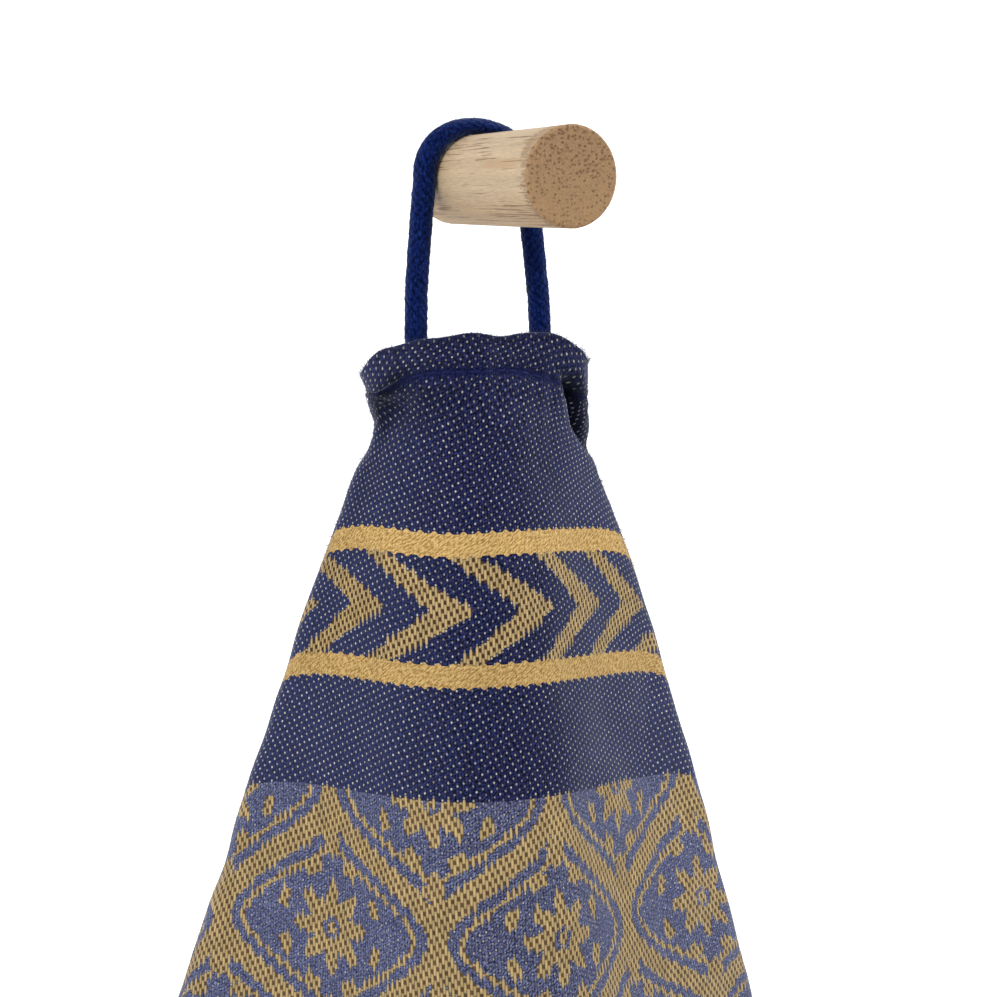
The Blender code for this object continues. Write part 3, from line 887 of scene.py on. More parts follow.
def woven_finish(name, cloth, reverse=False):
    """Navy satin with cream dots, its gold bands and figures woven in; the reverse has them swapped."""
    finish = Finish(
        name, Roughness=0.88, Specular_IOR_Level=0.03, Sheen_Weight=0.48, Sheen_Roughness=0.34,
        Sheen_Tint=(0.80, 0.83, 0.98, 1.0))
    flat = finish.node("UVMap", {"uv_map": "flat"})
    turned = (cloth.hem + cloth.hem_edge) / MM
    length = cloth.length / MM
    across, along = flat.parts()[:2]
    across = (across - 0.5) * (cloth.width / MM)
    along = along * (length + 2 * turned) - turned
    pitch = cloth.warp_pitch / MM
    row_pitch = cloth.weft_pitch / MM

    column = across * (1 / pitch)
    row = along * (1 / row_pitch)
    i = column.floor()
    j = row.floor()
    aside = column - i - 0.5
    below = row - j - 0.5
    half = SATIN_REPEAT / 2
    satin = j + i * SATIN_STEP
    step = satin % SATIN_REPEAT
    upright = (step + below + half) % SATIN_REPEAT - half
    aside_squared = aside * aside
    upright_squared = upright * upright
    upright_float = finish.chance(i, (satin * (1 / SATIN_REPEAT)).floor())
    dot_chance = finish.chance(i + 40, ((satin + 2) * (1 / SATIN_REPEAT)).floor())
    tint = finish.chance(i + 90, (row * 0.6 + upright_float).floor())

    row_place = (j + 0.5) * row_pitch
    row_from_end = row_place.least(length - row_place)
    bump = abs(column % SATIN_REPEAT - half).smooth(1.5, 0.2) * row_pitch * 0.9
    edge_place = along.least(length - along)
    band = 0
    for start, end in (FIRST_GOLD_BAND, SECOND_GOLD_BAND):
        band = (abs(edge_place - (start + end) / 2) < bump + (end - start - 0.3) / 2) + band
    seen_across = (i + 0.5) * pitch
    in_float = step > 0.5
    seen_along = (j + (half - step) * in_float + 0.5) * row_pitch
    from_end = seen_along.least(length - seen_along)
    past_middle = step + below - half
    ragged = aside_squared * (1 / FLOAT_SIDE ** 2) + past_middle * past_middle * (1 / FLOAT_REACH ** 2) < 1
    whole = gold_figures(finish, seen_across, from_end)
    inside = gold_figures(finish, seen_across, row_from_end)
    figure = inside.most(whole * ragged)
    outline = (whole.most(inside) - figure) * (1 - band)
    field = row_from_end > BORDER_DEPTH
    shade = finish.node("Attribute", {"attribute_name": "shade"}, output="Fac")
    stitched = abs(along - cloth.hem / MM).smooth(1.7, 0.9)
    if reverse:
        figure = 1 - (figure + band).least(1)
        band = band * 0

    rise = across * 0.80 - along * 0.60
    fall = across * 0.60 + along * 0.80
    strokes = finish.noise(finish.vector(rise * 1.3, fall * 2.9), 1.0, 2.0, 0.6)
    # Each thread's round profile: it raises the relief, and it also darkens the colour towards each
    # thread's edges as painted shade.
    core = 1 - aside_squared * 3.4
    dot_distance = (aside_squared * 7.5 + upright_squared * 4.8).root()
    dot = dot_distance.smooth(1.20, 0.45)
    dot = dot * (1 - stitched) * (1 - outline) * (1 - shade * 0.5)
    royal = strokes.smooth(0.38, 0.62) * 0.80 + upright_float * 0.15
    ground = finish.mixed(field, cloth.navy, cloth.steel_dark)
    lit = finish.mixed(tint * 0.55, finish.mixed(field, cloth.royal, cloth.steel), cloth.plum)
    ground = finish.mixed(royal, ground, lit)
    ground = finish.mixed(stitched * 0.50, ground, cloth.thread)
    # A painted shadow ring round each dot of the field; the ground is also darkened at the threads' edges
    # by their round profile, as painted shade.
    painted_dot_shadow = dot_distance.smooth(2.3, 1.2) * field * 0.4
    ground = finish.dimmed(ground, core * 0.40 + strokes * 2.2 - 0.76 + field * 0.14 - painted_dot_shadow)
    # The navy is made lighter towards the flanks with the lint colour: partly a real haze of lint and
    # partly painted sheen.
    beside = abs(across - 4.0).smooth(8.0, 38.0)
    ground = finish.mixed(beside * 0.08, ground, cloth.lint)
    ground = finish.mixed(outline * 0.7, ground, finish.dimmed(cloth.navy, 0.8))
    ground = finish.dimmed(ground, 1 - shade * 0.88)
    # Dots vary in brightness at random, and on the navy they are made lighter towards the sides as painted
    # light on the turned folds.
    dot_light = dot_chance * dot_chance * 0.55 + 0.32 + (1 - field) * beside * 0.20
    ground = finish.mixed(dot * (1 - field * 0.2), ground, finish.dimmed(cloth.cream, dot_light))

    edges = aside_squared * 4
    speck = (edges * edges * 0.35 + upright_squared * 1.15).root().smooth(1.04, 0.66)
    # Gold floats are painted lighter along their rounded middles, away from the satin points, and darker
    # towards their edges: painted highlight and shade; upright_float and strokes vary at random.
    bulge = abs(upright).smooth(0.3, 2.0)
    gold_light = core * 0.40 + core * bulge * 0.30 + upright_float * 0.26 + strokes * 0.3 + 0.02
    gold = finish.dimmed(cloth.gold, gold_light)
    dark = finish.dimmed(cloth.speck, tint * 0.8 + 0.6)
    gold = finish.mixed(speck * inside * (0.92 - field * 0.14), gold, dark)
    woven = finish.mixed(figure, ground, gold)

    grain = finish.noise(finish.vector(rise * 0.85 + 7, fall * 2.7), 1.0, 2.0, 0.6)
    stroke = grain.smooth(0.38, 0.60)
    # The second gold band is painted darker as painted shade where the cloth tilts from the light, and the
    # bands are darkened at the threads' edges by their round profile, also painted shade.
    second = row_from_end > CHEVRON_MIDDLE
    gold_band = finish.mixed(stroke, cloth.band_shade, cloth.band)
    gold_band = finish.dimmed(gold_band, core * 0.12 + stroke * 0.1 + 0.80 - second * 0.10)
    woven = finish.mixed(band, woven, gold_band)

    blotches = finish.noise(finish.vector(across, along), 0.11, 3.0) * 0.22 + 0.89
    colour = finish.dimmed(woven, blotches)
    height = core * (1 - band) + grain * 2.2 * band + dot * 0.35 * (1 - figure) - speck * figure * 0.5
    return finish.finished(colour, height, 0.11 * MM)


def cord_finish(settings):
    """A soft matt braid: streaks along the yarns, felted by wear, with a little pale lint and painted
    shade in the crevices between strands.
    """
    finish = Finish(
        "navy braid", Roughness=0.9, Specular_IOR_Level=0.03, Sheen_Weight=0.26, Sheen_Roughness=0.4,
        Sheen_Tint=(0.55, 0.68, 1.0, 1.0))
    lie = finish.node("Attribute", {"attribute_name": "lie"}, output="Vector")
    streaked = finish.node("VectorMath", {"operation": "MULTIPLY"}, {0: lie, 1: (1.0, 1.0, 0.16)})
    streaks = finish.noise(streaked, 3600.0, 3.0, 0.6)
    felt = finish.noise(lie, 1500.0, 4.0, 0.65)
    braid = finish.node("Attribute", {"attribute_name": "braid"}, output="Fac")
    # The braid's strand profile darkens the crevices between strands as painted shade; streaks and felt
    # are random mottling.
    light = (streaks * 1.9 + felt * 2.2 + braid * 1.0 - 2.0).most(0.06)
    lint = (felt + streaks * 0.5).smooth(0.80, 1.0) * 0.30
    colour = finish.mixed(lint, finish.dimmed(settings.colour, light), settings.lint)
    return finish.finished(colour, streaks + felt * 0.8, 0.25 * MM)


def peg_side_finish(settings):
    """Bamboo along the fibres: pale and tan streaks, long thin cracks and a ragged rim at the end."""
    finish = Finish("bamboo side", Roughness=0.62, Specular_IOR_Level=0.25)
    _, y, z = finish.place().parts()
    out = y * -1
    broad = finish.noise(finish.place((1.0, 0.04, 1.0)), 380.0, 3.0, 0.55)
    fine = finish.noise(finish.place((1.0, 0.10, 1.0)), 3000.0, 4.0, 0.7)
    zones = abs(z + 1.0 * MM).smooth(1.5 * MM, 5.5 * MM)
    lines = finish.noise(finish.place((1.0, 0.014, 1.0)), 3300.0, 2.0, 0.5)
    crack = (lines + zones * 0.075).smooth(0.68, 0.73)
    patch = out.smooth(36 * MM, 44 * MM) * out.smooth(60 * MM, 54 * MM) * 0.8 + 0.1
    stripe = abs(z - settings.stripe_height + (broad - 0.5) * 3 * MM).smooth(1.1 * MM, 0.5 * MM) * patch
    ragged = finish.noise(finish.place((1.0, 0.22, 1.0)), 2300.0, 3.0, 0.65)
    rim = out + (ragged - 0.5) * 15.0 * MM + z.smooth(0.0, 7 * MM) * 3.2 * MM
    rim = rim.smooth(59.6 * MM, 61.6 * MM)
    colour = finish.mixed(z.smooth(-2 * MM, -8 * MM) * 0.5, settings.side, settings.low_side)
    colour = finish.dimmed(colour, broad * 0.50 + fine * 0.80 + 0.36)
    colour = finish.mixed(stripe * fine.smooth(0.30, 0.62) * 0.62, colour, settings.stripe)
    colour = finish.mixed(crack * 0.62, colour, settings.crack)
    colour = finish.mixed(rim * 0.75, colour, finish.dimmed(settings.end, fine * 1.1 + 0.22))
    return finish.finished(colour, fine - crack * 1.2 - rim * 0.6, 0.22 * MM, Roughness=0.72 - fine * 0.2)


def peg_end_finish(settings):
    """Bamboo cut across: small soft pores, closer and darker towards the outer skin at the top."""
    finish = Finish("bamboo end", Roughness=0.75, Specular_IOR_Level=0.2)
    x, _, z = finish.place().parts()
    section = finish.vector(x, z)
    density = z.smooth(-10 * MM, 10 * MM)
    cloudy = finish.noise(section, 420.0, 4.0, 0.65)
    fibre = finish.noise(section, 2600.0, 4.0, 0.7)
    bent = finish.vector(x + (cloudy - 0.5) * 1.6 * MM, z + (fibre - 0.5) * 0.5 * MM)
    sockets = {"Vector": bent, "Scale": 1080.0, "Randomness": 1.0}
    settings_2d = {"voronoi_dimensions": "2D"}
    from_pore = finish.node("TexVoronoi", settings_2d, sockets, output="Distance")
    kind = finish.node("TexVoronoi", settings_2d, sockets, output="Color").parts()[0]
    ragged = from_pore + (fibre - 0.5) * 0.5 - density * 0.06
    pore = ragged.smooth(0.36, 0.02) * (kind + density * 0.45).smooth(0.2, 1.1)
    colour = finish.dimmed(settings.end, cloudy * 0.36 + fibre * 1.0 + 0.33 - density * 0.10)
    colour = finish.mixed(pore * 0.55, colour, settings.pore)
    return finish.finished(colour, fibre * 0.8 - pore, 0.25 * MM)


def plain_yarn_finish(name, colour, roughness=0.85):
    """Loose yarn ends and sewing thread: the colour changes a little from one to the next."""
    finish = Finish(name, Roughness=roughness, Specular_IOR_Level=0.2)
    uneven = finish.noise(finish.place(), 800.0, 2.0)
    twist = finish.noise(finish.place(), 5200.0, 2.0)
    return finish.finished(finish.dimmed(colour, uneven * 0.7 + twist * 0.4 + 0.45), twist, 0.05 * MM)


def stage_finish():
    """Pale paper that glows far behind the object, so that it stays white in the picture."""
    finish = Finish("pale paper", Roughness=0.9, Specular_IOR_Level=0.0, Emission_Strength=0.62)
    grain = finish.noise(finish.place(), 300.0, 2.0)
    far = finish.place().parts()[1].smooth(0.35, 0.85)
    glow = finish.dimmed((1.0, 1.0, 1.0), far * 0.95 + 0.05)
    colour = finish.dimmed((0.90, 0.90, 0.90), grain * 0.02 + 0.99)
    return finish.finished(colour, grain, 0.02 * MM, Emission_Color=glow)


def link_piece(name, mesh, slot, *materials):
    """Adds a finished mesh as a piece of the object."""
    piece = bpy.data.objects.new(name, mesh)
    bpy.context.scene.collection.objects.link(piece)
    for material in materials:
        mesh.materials.append(material)
    mesh.shade_smooth()
    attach(piece, BODY)
    return piece


def mesh_from(name, places, faces):
    """A mesh of places in millimetres."""
    mesh = bpy.data.meshes.new(name)
    mesh.from_pydata((np.reshape(places, (-1, 3)) * MM).tolist(), [], faces)
    return mesh


def grid_faces(rows, columns, round_about=False):
    """Four-sided faces of a grid of points, which may close on itself across."""
    i, j = np.mgrid[0:rows - 1, 0:columns - (not round_about)]
    following = (j + 1) % columns
    here = i * columns
    below = here + columns
    corners = (here + j, below + j, below + following, here + following)
    return np.stack(corners, axis=-1).reshape(-1, 4).tolist()


def only(piece):
    """Makes this the one selected object, ready for an operator."""
    bpy.ops.object.select_all(action="DESELECT")
    piece.select_set(True)
    bpy.context.view_layer.objects.active = piece


def primitive(add, **sizes):
    """A new simple form, with its place and turn applied to its mesh."""
    bpy.ops.object.select_all(action="DESELECT")
    add(**sizes)
    bpy.ops.object.transform_apply(location=True, rotation=True, scale=True)
    return bpy.context.object


def cut_through(places, normal):
    """Cuts the mesh that is being edited across, at each of the places."""
    for place in places:
        bpy.ops.mesh.select_all(action="SELECT")
        bpy.ops.mesh.bisect(plane_co=place, plane_no=normal)


def distances_along(points):
    """How far along a line each of its points lies."""
    return np.concatenate([[0], np.cumsum(np.linalg.norm(np.diff(points, axis=0), axis=1))])


def smooth_route(route, spacing):
    """Points at an even spacing on a smooth curve through the route's points."""
    at = distances_along(route[:, :3])
    distances = np.linspace(0, at[-1], round(at[-1] / spacing) + 1)
    return curve_through(at, route, np.gradient(route, at, axis=0), distances)


def fibre_mesh(name, roots, directions, bends, radius):
    """Short tapered fibres, each closed and three-sided: where they start, point and bend to."""
    not_parallel = directions[:, [1, 2, 0]] + 0.3
    sideways = unit(np.cross(directions, not_parallel))
    upwards = unit(np.cross(directions, sideways))
    points = []
    for t, share in ((0.0, 1.0), (0.4, 0.85), (0.75, 0.55)):
        middle = roots + directions * t + bends * t * t
        for corner in range(3):
            angle = 2 * math.pi * corner / 3
            offset = sideways * math.cos(angle) + upwards * math.sin(angle)
            points.append(middle + offset * radius * share)
    points.append(roots + directions + bends)
    places = np.stack(points, axis=1)
    faces = [(2, 1, 0)]
    for ring in (0, 3):
        faces += [(ring + a, ring + b, ring + b + 3, ring + a + 3) for a, b in ((0, 1), (1, 2), (2, 0))]
    faces += [(6, 7, 9), (7, 8, 9), (8, 6, 9)]
    every = [
        tuple(corner + len(points) * n for corner in face) for n in range(len(roots)) for face in faces]
    return mesh_from(name, places, every)


class TOWEL_OT_camera(bpy.types.Operator):
    """Add the camera at the photograph's view"""

    bl_idname = "tea_towel.camera"
    bl_label = "Camera"

    def execute(self, context):
        lens = bpy.data.cameras.new("camera")
        lens.lens = CAMERA_LENS
        lens.sensor_width = 36
        lens.clip_start = 0.02
        lens.clip_end = 20
        camera = bpy.data.objects.new("camera", lens)
        camera.location = CAMERA_PLACE
        camera.rotation_euler = (math.pi / 2 - CAMERA_PITCH, 0, CAMERA_AZIMUTH)
        context.scene.collection.objects.link(camera)
        context.scene.camera = camera
        return {"FINISHED"}


class TOWEL_OT_loop(bpy.types.Operator):
    """Model the braided hanging loop and its fuzz"""

    bl_idname = "tea_towel.loop"
    bl_label = "Hanging loop"

    SPACING = 0.35
    AROUND = 56
    FULLNESS = 0.08
    RELIEF = 0.20
    MEAN_BRAID = 0.6
    WANDERS = ((1, 9.0), (2, 6.0), (3, 14.0), (5, 4.5))
    WANDER_HEIGHT = 0.025
    PRESSED_WIDER = 0.25
    LIE_RADIUS = 2.5
    PATH_STEP = 6
    FIBRES = 2600
    FIBRE_LENGTHS = (0.5, 1.5)
    FIBRE_RADIUS = 0.032
    ROOT_DEPTH = 0.1
    SEED = 11

    def fuzz(self, random, places, outwards, ahead):
        """Short fibres that stand out all round the cord."""
        count = self.FIBRES
        ring = random.integers(3, len(ahead) - 3, count)
        point = random.integers(0, self.AROUND, count)
        outward = unit(outwards[ring, point])
        leaning = ahead[ring] * random.normal(0, 0.8, (count, 1)) + random.normal(0, 0.35, (count, 3))
        length = random.uniform(*self.FIBRE_LENGTHS, (count, 1))
        bends = (ahead[ring] * random.normal(0, 0.9, (count, 1)) - outward * 0.35) * length
        roots = places[ring, point] - outward * self.ROOT_DEPTH
        return fibre_mesh(
            "loop_fuzz", roots, (outward * 0.8 + leaning) * length, bends, self.FIBRE_RADIUS)

    def execute(self, context):
        settings = context.scene.tea_towel_loop
        route = smooth_route(np.array(CORD_ROUTE) / (MM, MM, MM, 1), self.SPACING)
        middle = route[:, :3]
        along = distances_along(middle)
        ahead = unit(np.gradient(middle, axis=0))
        out = unit(np.cross(ahead, (0, 1, 0)))
        front = np.cross(out, ahead)

        angle = 2 * math.pi * np.arange(self.AROUND)[None, :] / self.AROUND
        turn = angle / (2 * math.pi)
        twist = along[:, None] / (settings.lay / MM)
        left_yarn = settings.strands * (turn + twist)
        right_yarn = settings.strands * (turn - twist)
        over = (np.floor(left_yarn) + np.floor(right_yarn)) % 2
        yarn = np.where(over > 0, left_yarn, right_yarn) % 1
        braid = 1 - (2 * yarn - 1) ** 2
        random = np.random.default_rng(self.SEED)
        wander = np.zeros_like(braid)
        for turns, wave in self.WANDERS:
            phase = random.uniform(0, 2 * math.pi)
            wander = wander + np.sin(turns * angle + 2 * math.pi * along[:, None] / wave + phase)
        radius = settings.diameter / MM / 2 + self.FULLNESS + self.RELIEF * (braid - self.MEAN_BRAID)
        radius = radius + self.WANDER_HEIGHT * wander
        thin = route[:, 3:]
        wide = 1 + self.PRESSED_WIDER * (1 - thin)
        offset = (out[:, None] * (np.cos(angle) * radius * thin)[..., None]
                  + front[:, None] * (np.sin(angle) * radius * wide)[..., None])
        places = middle[:, None] + offset
        faces = grid_faces(len(middle), self.AROUND, round_about=True)
        last = (len(middle) - 1) * self.AROUND
        faces += [tuple(range(self.AROUND)), tuple(last + k for k in reversed(range(self.AROUND)))]
        mesh = mesh_from("braided_loop", places, faces)
        lie = np.stack(np.broadcast_arrays(
            np.cos(angle) * self.LIE_RADIUS, np.sin(angle) * self.LIE_RADIUS, along[:, None]), axis=-1)
        lie = lie * MM
        mesh.attributes.new("lie", "FLOAT_VECTOR", "POINT").data.foreach_set("vector", lie.ravel())
        mesh.attributes.new("braid", "FLOAT", "POINT").data.foreach_set("value", braid.ravel())
        loop = link_piece("braided_loop", mesh, "cord", cord_finish(settings))
        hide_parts("hanging_loop")

        fuzz = self.fuzz(random, places, offset, ahead)
        fuzz = link_piece("loop_fuzz", fuzz, "cord", plain_yarn_finish("loop fuzz", settings.colour))
        return {"FINISHED"}


class TOWEL_OT_cloth(bpy.types.Operator):
    """Hang the towel's cloth with its turned hems"""

    bl_idname = "tea_towel.cloth"
    bl_label = "Cloth"

    def execute(self, context):
        settings = context.scene.tea_towel_cloth
        drape = Drape(settings)
        along = drape.rows()
        across = drape.columns(drape.unfolded(along)[0])
        along = along[:, None] + 0 * across
        places, _ = drape.at(across, along)
        mesh = mesh_from("draped_towel", places, grid_faces(*across.shape))
        woven_across, woven_along = drape.woven_place(across, along)
        flat = np.stack([
            woven_across / drape.width + 0.5,
            (woven_along + drape.turned) / (drape.length + 2 * drape.turned)], axis=-1)
        corners = np.zeros(len(mesh.loops), int)
        mesh.loops.foreach_get("vertex_index", corners)
        mesh.uv_layers.new(name="flat").uv.foreach_set("vector", flat.reshape(-1, 2)[corners].ravel())
        shade = shade_at(across, np.clip(along, 0, drape.length))
        mesh.attributes.new("shade", "FLOAT", "POINT").data.foreach_set("value", shade.ravel())
        towel = link_piece(
            "draped_towel", mesh, "cloth", woven_finish("navy weave", settings),
            woven_finish("navy weave reverse", settings, reverse=True))
        solid = towel.modifiers.new("cloth", "SOLIDIFY")
        solid.thickness = settings.thickness
        solid.offset = 0
        solid.material_offset = 1
        only(towel)
        bpy.ops.object.modifier_apply(modifier=solid.name)
        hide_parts("towel")
        return {"FINISHED"}


class TOWEL_OT_sewing(bpy.types.Operator):
    """Sew the hem and raise the fuzz on the cloth's edges"""

    bl_idname = "tea_towel.sewing"
    bl_label = "Hem stitches and fuzz"

    STITCH_LENGTH = 2.9
    STITCH_GAP = 0.45
    STITCH_RADIUS = 0.30
    STITCH_CUTS = (-1.15, -0.6, 0, 0.6, 1.15)
    STITCH_TAPER = 0.5
    STITCH_STANDS = 0.02
    STITCH_SINKS = 0.36
    HEM_FIBRES = 4200
    HEM_FUZZ_ALONG = (-0.6, 1.4)
    HEM_FUZZ_MOSTLY_ACROSS = 45
    FOLD_FIBRES = 6400
    FOLD_FUZZ_DOWN = 2
    FOLD_FUZZ_MOSTLY_TO = 60
    FOLD_FUZZ_OFTEN_TO = 170
    FOLD_FUZZ_SPREAD = 5
    FIBRE_LENGTHS = (0.35, 1.4)
    FIBRE_RADIUS = 0.030
    ROOT_DEPTH = 0.1
    SEED = 23

    def one_stitch(self):
        """A thread's visible run, lying along X: thick in the middle, both ends sunk in the cloth."""
        stitch = primitive(
            bpy.ops.mesh.primitive_cylinder_add, vertices=6, radius=self.STITCH_RADIUS,
            depth=self.STITCH_LENGTH, rotation=(0, math.pi / 2, 0))
        bpy.ops.object.mode_set(mode="EDIT")
        cut_through([(cut, 0, 0) for cut in self.STITCH_CUTS], (1, 0, 0))
        bpy.ops.object.mode_set(mode="OBJECT")
        for vertex in stitch.data.vertices:
            towards_end = (abs(vertex.co.x) / (self.STITCH_LENGTH / 2)) ** 4
            narrower = 1 - self.STITCH_TAPER * towards_end
            vertex.co.y *= narrower
            vertex.co.z = vertex.co.z * narrower + self.STITCH_STANDS - self.STITCH_SINKS * towards_end
        points = np.array([vertex.co for vertex in stitch.data.vertices])
        faces = [tuple(face.vertices) for face in stitch.data.polygons]
        bpy.data.meshes.remove(stitch.data)
        return points, faces

    def stitches(self, drape):
        """The two hems' rows of stitches."""
        points, faces = self.one_stitch()
        step = self.STITCH_LENGTH + self.STITCH_GAP
        count = int((drape.width - 2) / step)
        places, every = [], []
        for along in (drape.hem, drape.length - drape.hem):
            for n in range(count):
                across = (n - (count - 1) / 2) * step + points[:, 0]
                seam = drape.sewn_at(across) if along < drape.length / 2 else along
                place, _ = drape.at(across, seam + points[:, 1], drape.thickness / 2 + points[:, 2])
                base = len(places) * len(points)
                places.append(place)
                every += [tuple(corner + base for corner in face) for face in faces]
        return mesh_from("hem_stitches", np.concatenate(places), every)

    def fuzz(self, drape):
        """Fibres on the hem's edge and on the two side folds, most of them near the top."""
        random = np.random.default_rng(self.SEED)
        edge = drape.width / 2
        mostly = self.HEM_FUZZ_MOSTLY_ACROSS
        hem_across = random.uniform(-edge, edge, self.HEM_FIBRES)
        hem_across[::2] = random.uniform(-mostly, mostly, len(hem_across[::2]))
        hem_along = random.uniform(*self.HEM_FUZZ_ALONG, self.HEM_FIBRES)
        top = self.FOLD_FUZZ_DOWN
        fold_down = random.uniform(top, drape.length - 5, self.FOLD_FIBRES)
        fold_down[::2] = random.uniform(top, self.FOLD_FUZZ_MOSTLY_TO, len(fold_down[::2]))
        fold_down[1::4] = random.uniform(top, self.FOLD_FUZZ_OFTEN_TO, len(fold_down[1::4]))
        sides = random.choice(["left_fold", "right_fold"], self.FOLD_FIBRES)
        left, right = fold_path("left_fold", fold_down), fold_path("right_fold", fold_down)
        fold_across = np.where(sides == "left_fold", left, right)
        fold_across = fold_across + random.normal(0, self.FOLD_FUZZ_SPREAD, self.FOLD_FIBRES)
        across = np.concatenate([hem_across, fold_across])
        along = np.concatenate([hem_along, fold_down])
        roots, normal = drape.at(across, along, drape.thickness / 2 - self.ROOT_DEPTH)
        upward = np.zeros_like(normal)
        upward[:self.HEM_FIBRES, 2] = 0.9
        length = random.uniform(*self.FIBRE_LENGTHS, (len(across), 1))
        directions = (normal * 0.7 + upward + random.normal(0, 0.45, normal.shape)) * length
        bends = random.normal(0, 0.5, normal.shape) * length
        return fibre_mesh("cloth_fuzz", roots, directions, bends, self.FIBRE_RADIUS)

    def execute(self, context):
        settings = context.scene.tea_towel_cloth
        drape = Drape(settings)
        thread = plain_yarn_finish("sewing thread", settings.thread, 0.7)
        link_piece("hem_stitches", self.stitches(drape), "cloth", thread)
        yarn = plain_yarn_finish("cloth fuzz", settings.steel_dark)
        link_piece("cloth_fuzz", self.fuzz(drape), "cloth", yarn)
        return {"FINISHED"}


class TOWEL_OT_peg(bpy.types.Operator):
    """Model the bamboo peg with its cut end"""

    bl_idname = "tea_towel.peg"
    bl_label = "Peg"

    RADIUS = 10.0
    LENGTH = 62.0
    SIDES = 128
    EDGE = 0.5
    INSETS = (0.8, 2.4, 2.6, 2.4)
    CUTS_EVERY = 4
    RIPPLES = ((2, 21), (5, 13), (11, 9), (23, 17), (41, 6))
    RIPPLE_HEIGHT = 0.0022
    END_WAVE_HEIGHT = 0.05
    SMOOTH_UP_TO = math.radians(35)
    SEED = 7

    def uneven(self, mesh):
        """Eases the cut end's edge and takes the side and the end a little out of true."""
        phases = np.random.default_rng(self.SEED).uniform(0, 2 * math.pi, 8)
        for vertex in mesh.vertices:
            x, y, z = vertex.co / MM
            radius = math.hypot(x, z)
            angle = math.atan2(z, x)
            if radius > self.RADIUS - 0.01:
                ripple = sum(
                    math.sin(turns * angle + y / wave + phase)
                    for (turns, wave), phase in zip(self.RIPPLES, phases))
                if y < -self.LENGTH + 0.01:
                    vertex.co.y += self.EDGE * (0.9 + 0.12 * ripple) * MM
                grown = 1 + self.RIPPLE_HEIGHT * ripple
                vertex.co.x *= grown
                vertex.co.z *= grown
            elif radius > 0.5:
                wave = math.sin(3 * angle + phases[6]) * math.sin(radius + phases[7])
                vertex.co.y += self.END_WAVE_HEIGHT * wave * MM

    def execute(self, context):
        settings = context.scene.tea_towel_peg
        peg = primitive(
            bpy.ops.mesh.primitive_cylinder_add, vertices=self.SIDES, radius=self.RADIUS * MM,
            depth=self.LENGTH * MM, location=(0, -self.LENGTH / 2 * MM, 0), rotation=(math.pi / 2, 0, 0))
        peg.name = peg.data.name = "bamboo_peg"
        mesh = peg.data
        mesh.materials.append(peg_side_finish(settings))
        mesh.materials.append(peg_end_finish(settings))
        bpy.ops.object.mode_set(mode="EDIT")
        bpy.ops.mesh.select_mode(type="FACE")
        bpy.ops.mesh.select_all(action="DESELECT")
        bpy.ops.object.mode_set(mode="OBJECT")
        for face in mesh.polygons:
            face.select = face.normal.y < -0.9
            face.material_index = int(face.select)
        bpy.ops.object.mode_set(mode="EDIT")
        for inset in (self.EDGE, *self.INSETS):
            bpy.ops.mesh.inset(thickness=inset * MM, depth=0)
        cut_through([(0, -cut * MM, 0) for cut in range(2, int(self.LENGTH), self.CUTS_EVERY)], (0, 1, 0))
        bpy.ops.object.mode_set(mode="OBJECT")
        self.uneven(mesh)
        only(peg)
        bpy.ops.object.shade_smooth_by_angle(angle=self.SMOOTH_UP_TO)
        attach(peg, BODY)
        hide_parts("peg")
        return {"FINISHED"}


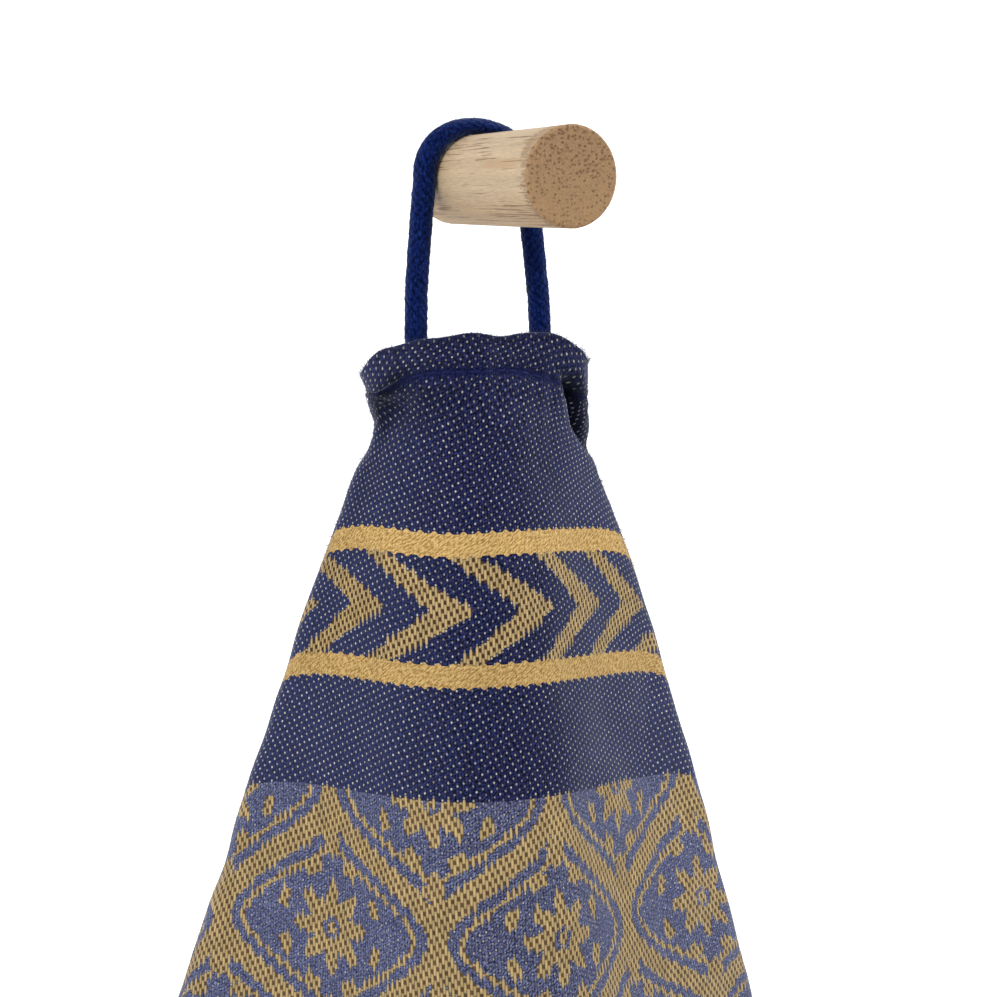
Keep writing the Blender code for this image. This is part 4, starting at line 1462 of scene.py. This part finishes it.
class TOWEL_OT_stage(bpy.types.Operator):
    """Set up the pale floor and backdrop and the soft lights"""

    bl_idname = "tea_towel.stage"
    bl_label = "Stage"

    FLOOR = -0.86
    BACK = 1.7
    SIZE = 6
    HEIGHT = 3.2
    SWEEP = 0.7
    SWEEP_STEPS = 24
    AIM = (0, -0.05, -0.12)
    LIGHTS = (
        ("key light", (-0.95, -0.45, 0.75), 0.7, 1.0),
        ("right light", (1.00, -0.25, 0.45), 0.8, 0.85),
    )

    def light(self, context, name, place, size, power):
        """Adds a round soft light, in watts, that faces the object."""
        lamp = bpy.data.lights.new(name, "AREA")
        lamp.shape = "DISK"
        lamp.size = size
        lamp.energy = power
        thing = bpy.data.objects.new(name, lamp)
        thing.location = place
        aim = Vector(self.AIM) - Vector(place)
        thing.rotation_euler = aim.to_track_quat("-Z", "Y").to_euler()
        context.scene.collection.objects.link(thing)

    def execute(self, context):
        settings = context.scene.tea_towel_stage
        floor = primitive(
            bpy.ops.mesh.primitive_plane_add, size=self.SIZE,
            location=(0, self.BACK - self.SIZE / 2, self.FLOOR))
        floor.name = "floor"
        bpy.ops.object.mode_set(mode="EDIT")
        bpy.ops.mesh.select_mode(type="EDGE")
        bpy.ops.mesh.select_all(action="DESELECT")
        bpy.ops.object.mode_set(mode="OBJECT")
        for vertex in floor.data.vertices:
            vertex.select = vertex.co.y > self.BACK - 0.1
        for edge in floor.data.edges:
            edge.select = all(floor.data.vertices[v].select for v in edge.vertices)
        bpy.ops.object.mode_set(mode="EDIT")
        bpy.ops.mesh.extrude_region_move(TRANSFORM_OT_translate={"value": (0, 0, self.HEIGHT)})
        bpy.ops.object.mode_set(mode="OBJECT")
        corner = floor.modifiers.new("sweep", "BEVEL")
        corner.width = self.SWEEP
        corner.segments = self.SWEEP_STEPS
        corner.limit_method = "ANGLE"
        bpy.ops.object.modifier_apply(modifier=corner.name)
        floor.data.materials.append(stage_finish())
        floor.data.shade_smooth()

        for name, place, size, share in self.LIGHTS:
            self.light(context, name, place, size, settings.key_light * share)
        world = bpy.data.worlds.new("pale room")
        world.use_nodes = True
        surroundings = world.node_tree.nodes["Background"]
        surroundings.inputs["Color"].default_value = (1, 1, 1, 1)
        surroundings.inputs["Strength"].default_value = settings.background
        context.scene.world = world
        context.scene.view_settings.view_transform = "Standard"
        return {"FINISHED"}


class TOWEL_PT_panel(bpy.types.Panel):
    """The towel's pieces, in the order in which they are made"""

    bl_label = "Tea towel"
    bl_idname = "TOWEL_PT_panel"
    bl_space_type = "VIEW_3D"
    bl_region_type = "UI"
    bl_category = "Tea towel"

    def draw(self, context):
        for owner in SETTINGS:
            box = self.layout.box()
            group = getattr(context.scene, owner)
            for name in group.__annotations__:
                box.prop(group, name)
        for operator in OPERATORS:
            self.layout.operator(operator.bl_idname)


SETTINGS = {
    "tea_towel_cloth": TowelSettings,
    "tea_towel_loop": LoopSettings,
    "tea_towel_peg": PegSettings,
    "tea_towel_stage": StageSettings,
}
OPERATORS = (
    TOWEL_OT_camera, TOWEL_OT_loop, TOWEL_OT_cloth, TOWEL_OT_sewing, TOWEL_OT_peg, TOWEL_OT_stage)


def register():
    for owner, group in SETTINGS.items():
        bpy.utils.register_class(group)
        setattr(bpy.types.Scene, owner, bpy.props.PointerProperty(type=group))
    for operator in OPERATORS:
        bpy.utils.register_class(operator)
    bpy.utils.register_class(TOWEL_PT_panel)


def unregister():
    bpy.utils.unregister_class(TOWEL_PT_panel)
    for operator in reversed(OPERATORS):
        bpy.utils.unregister_class(operator)
    for owner, group in reversed(SETTINGS.items()):
        delattr(bpy.types.Scene, owner)
        bpy.utils.unregister_class(group)


def main():
    register()
    bpy.ops.tea_towel.camera()
    bpy.ops.tea_towel.loop()
    bpy.ops.tea_towel.cloth()
    bpy.ops.tea_towel.sewing()
    bpy.ops.tea_towel.peg()
    bpy.ops.tea_towel.stage()


if __name__ == "__main__":
    main()
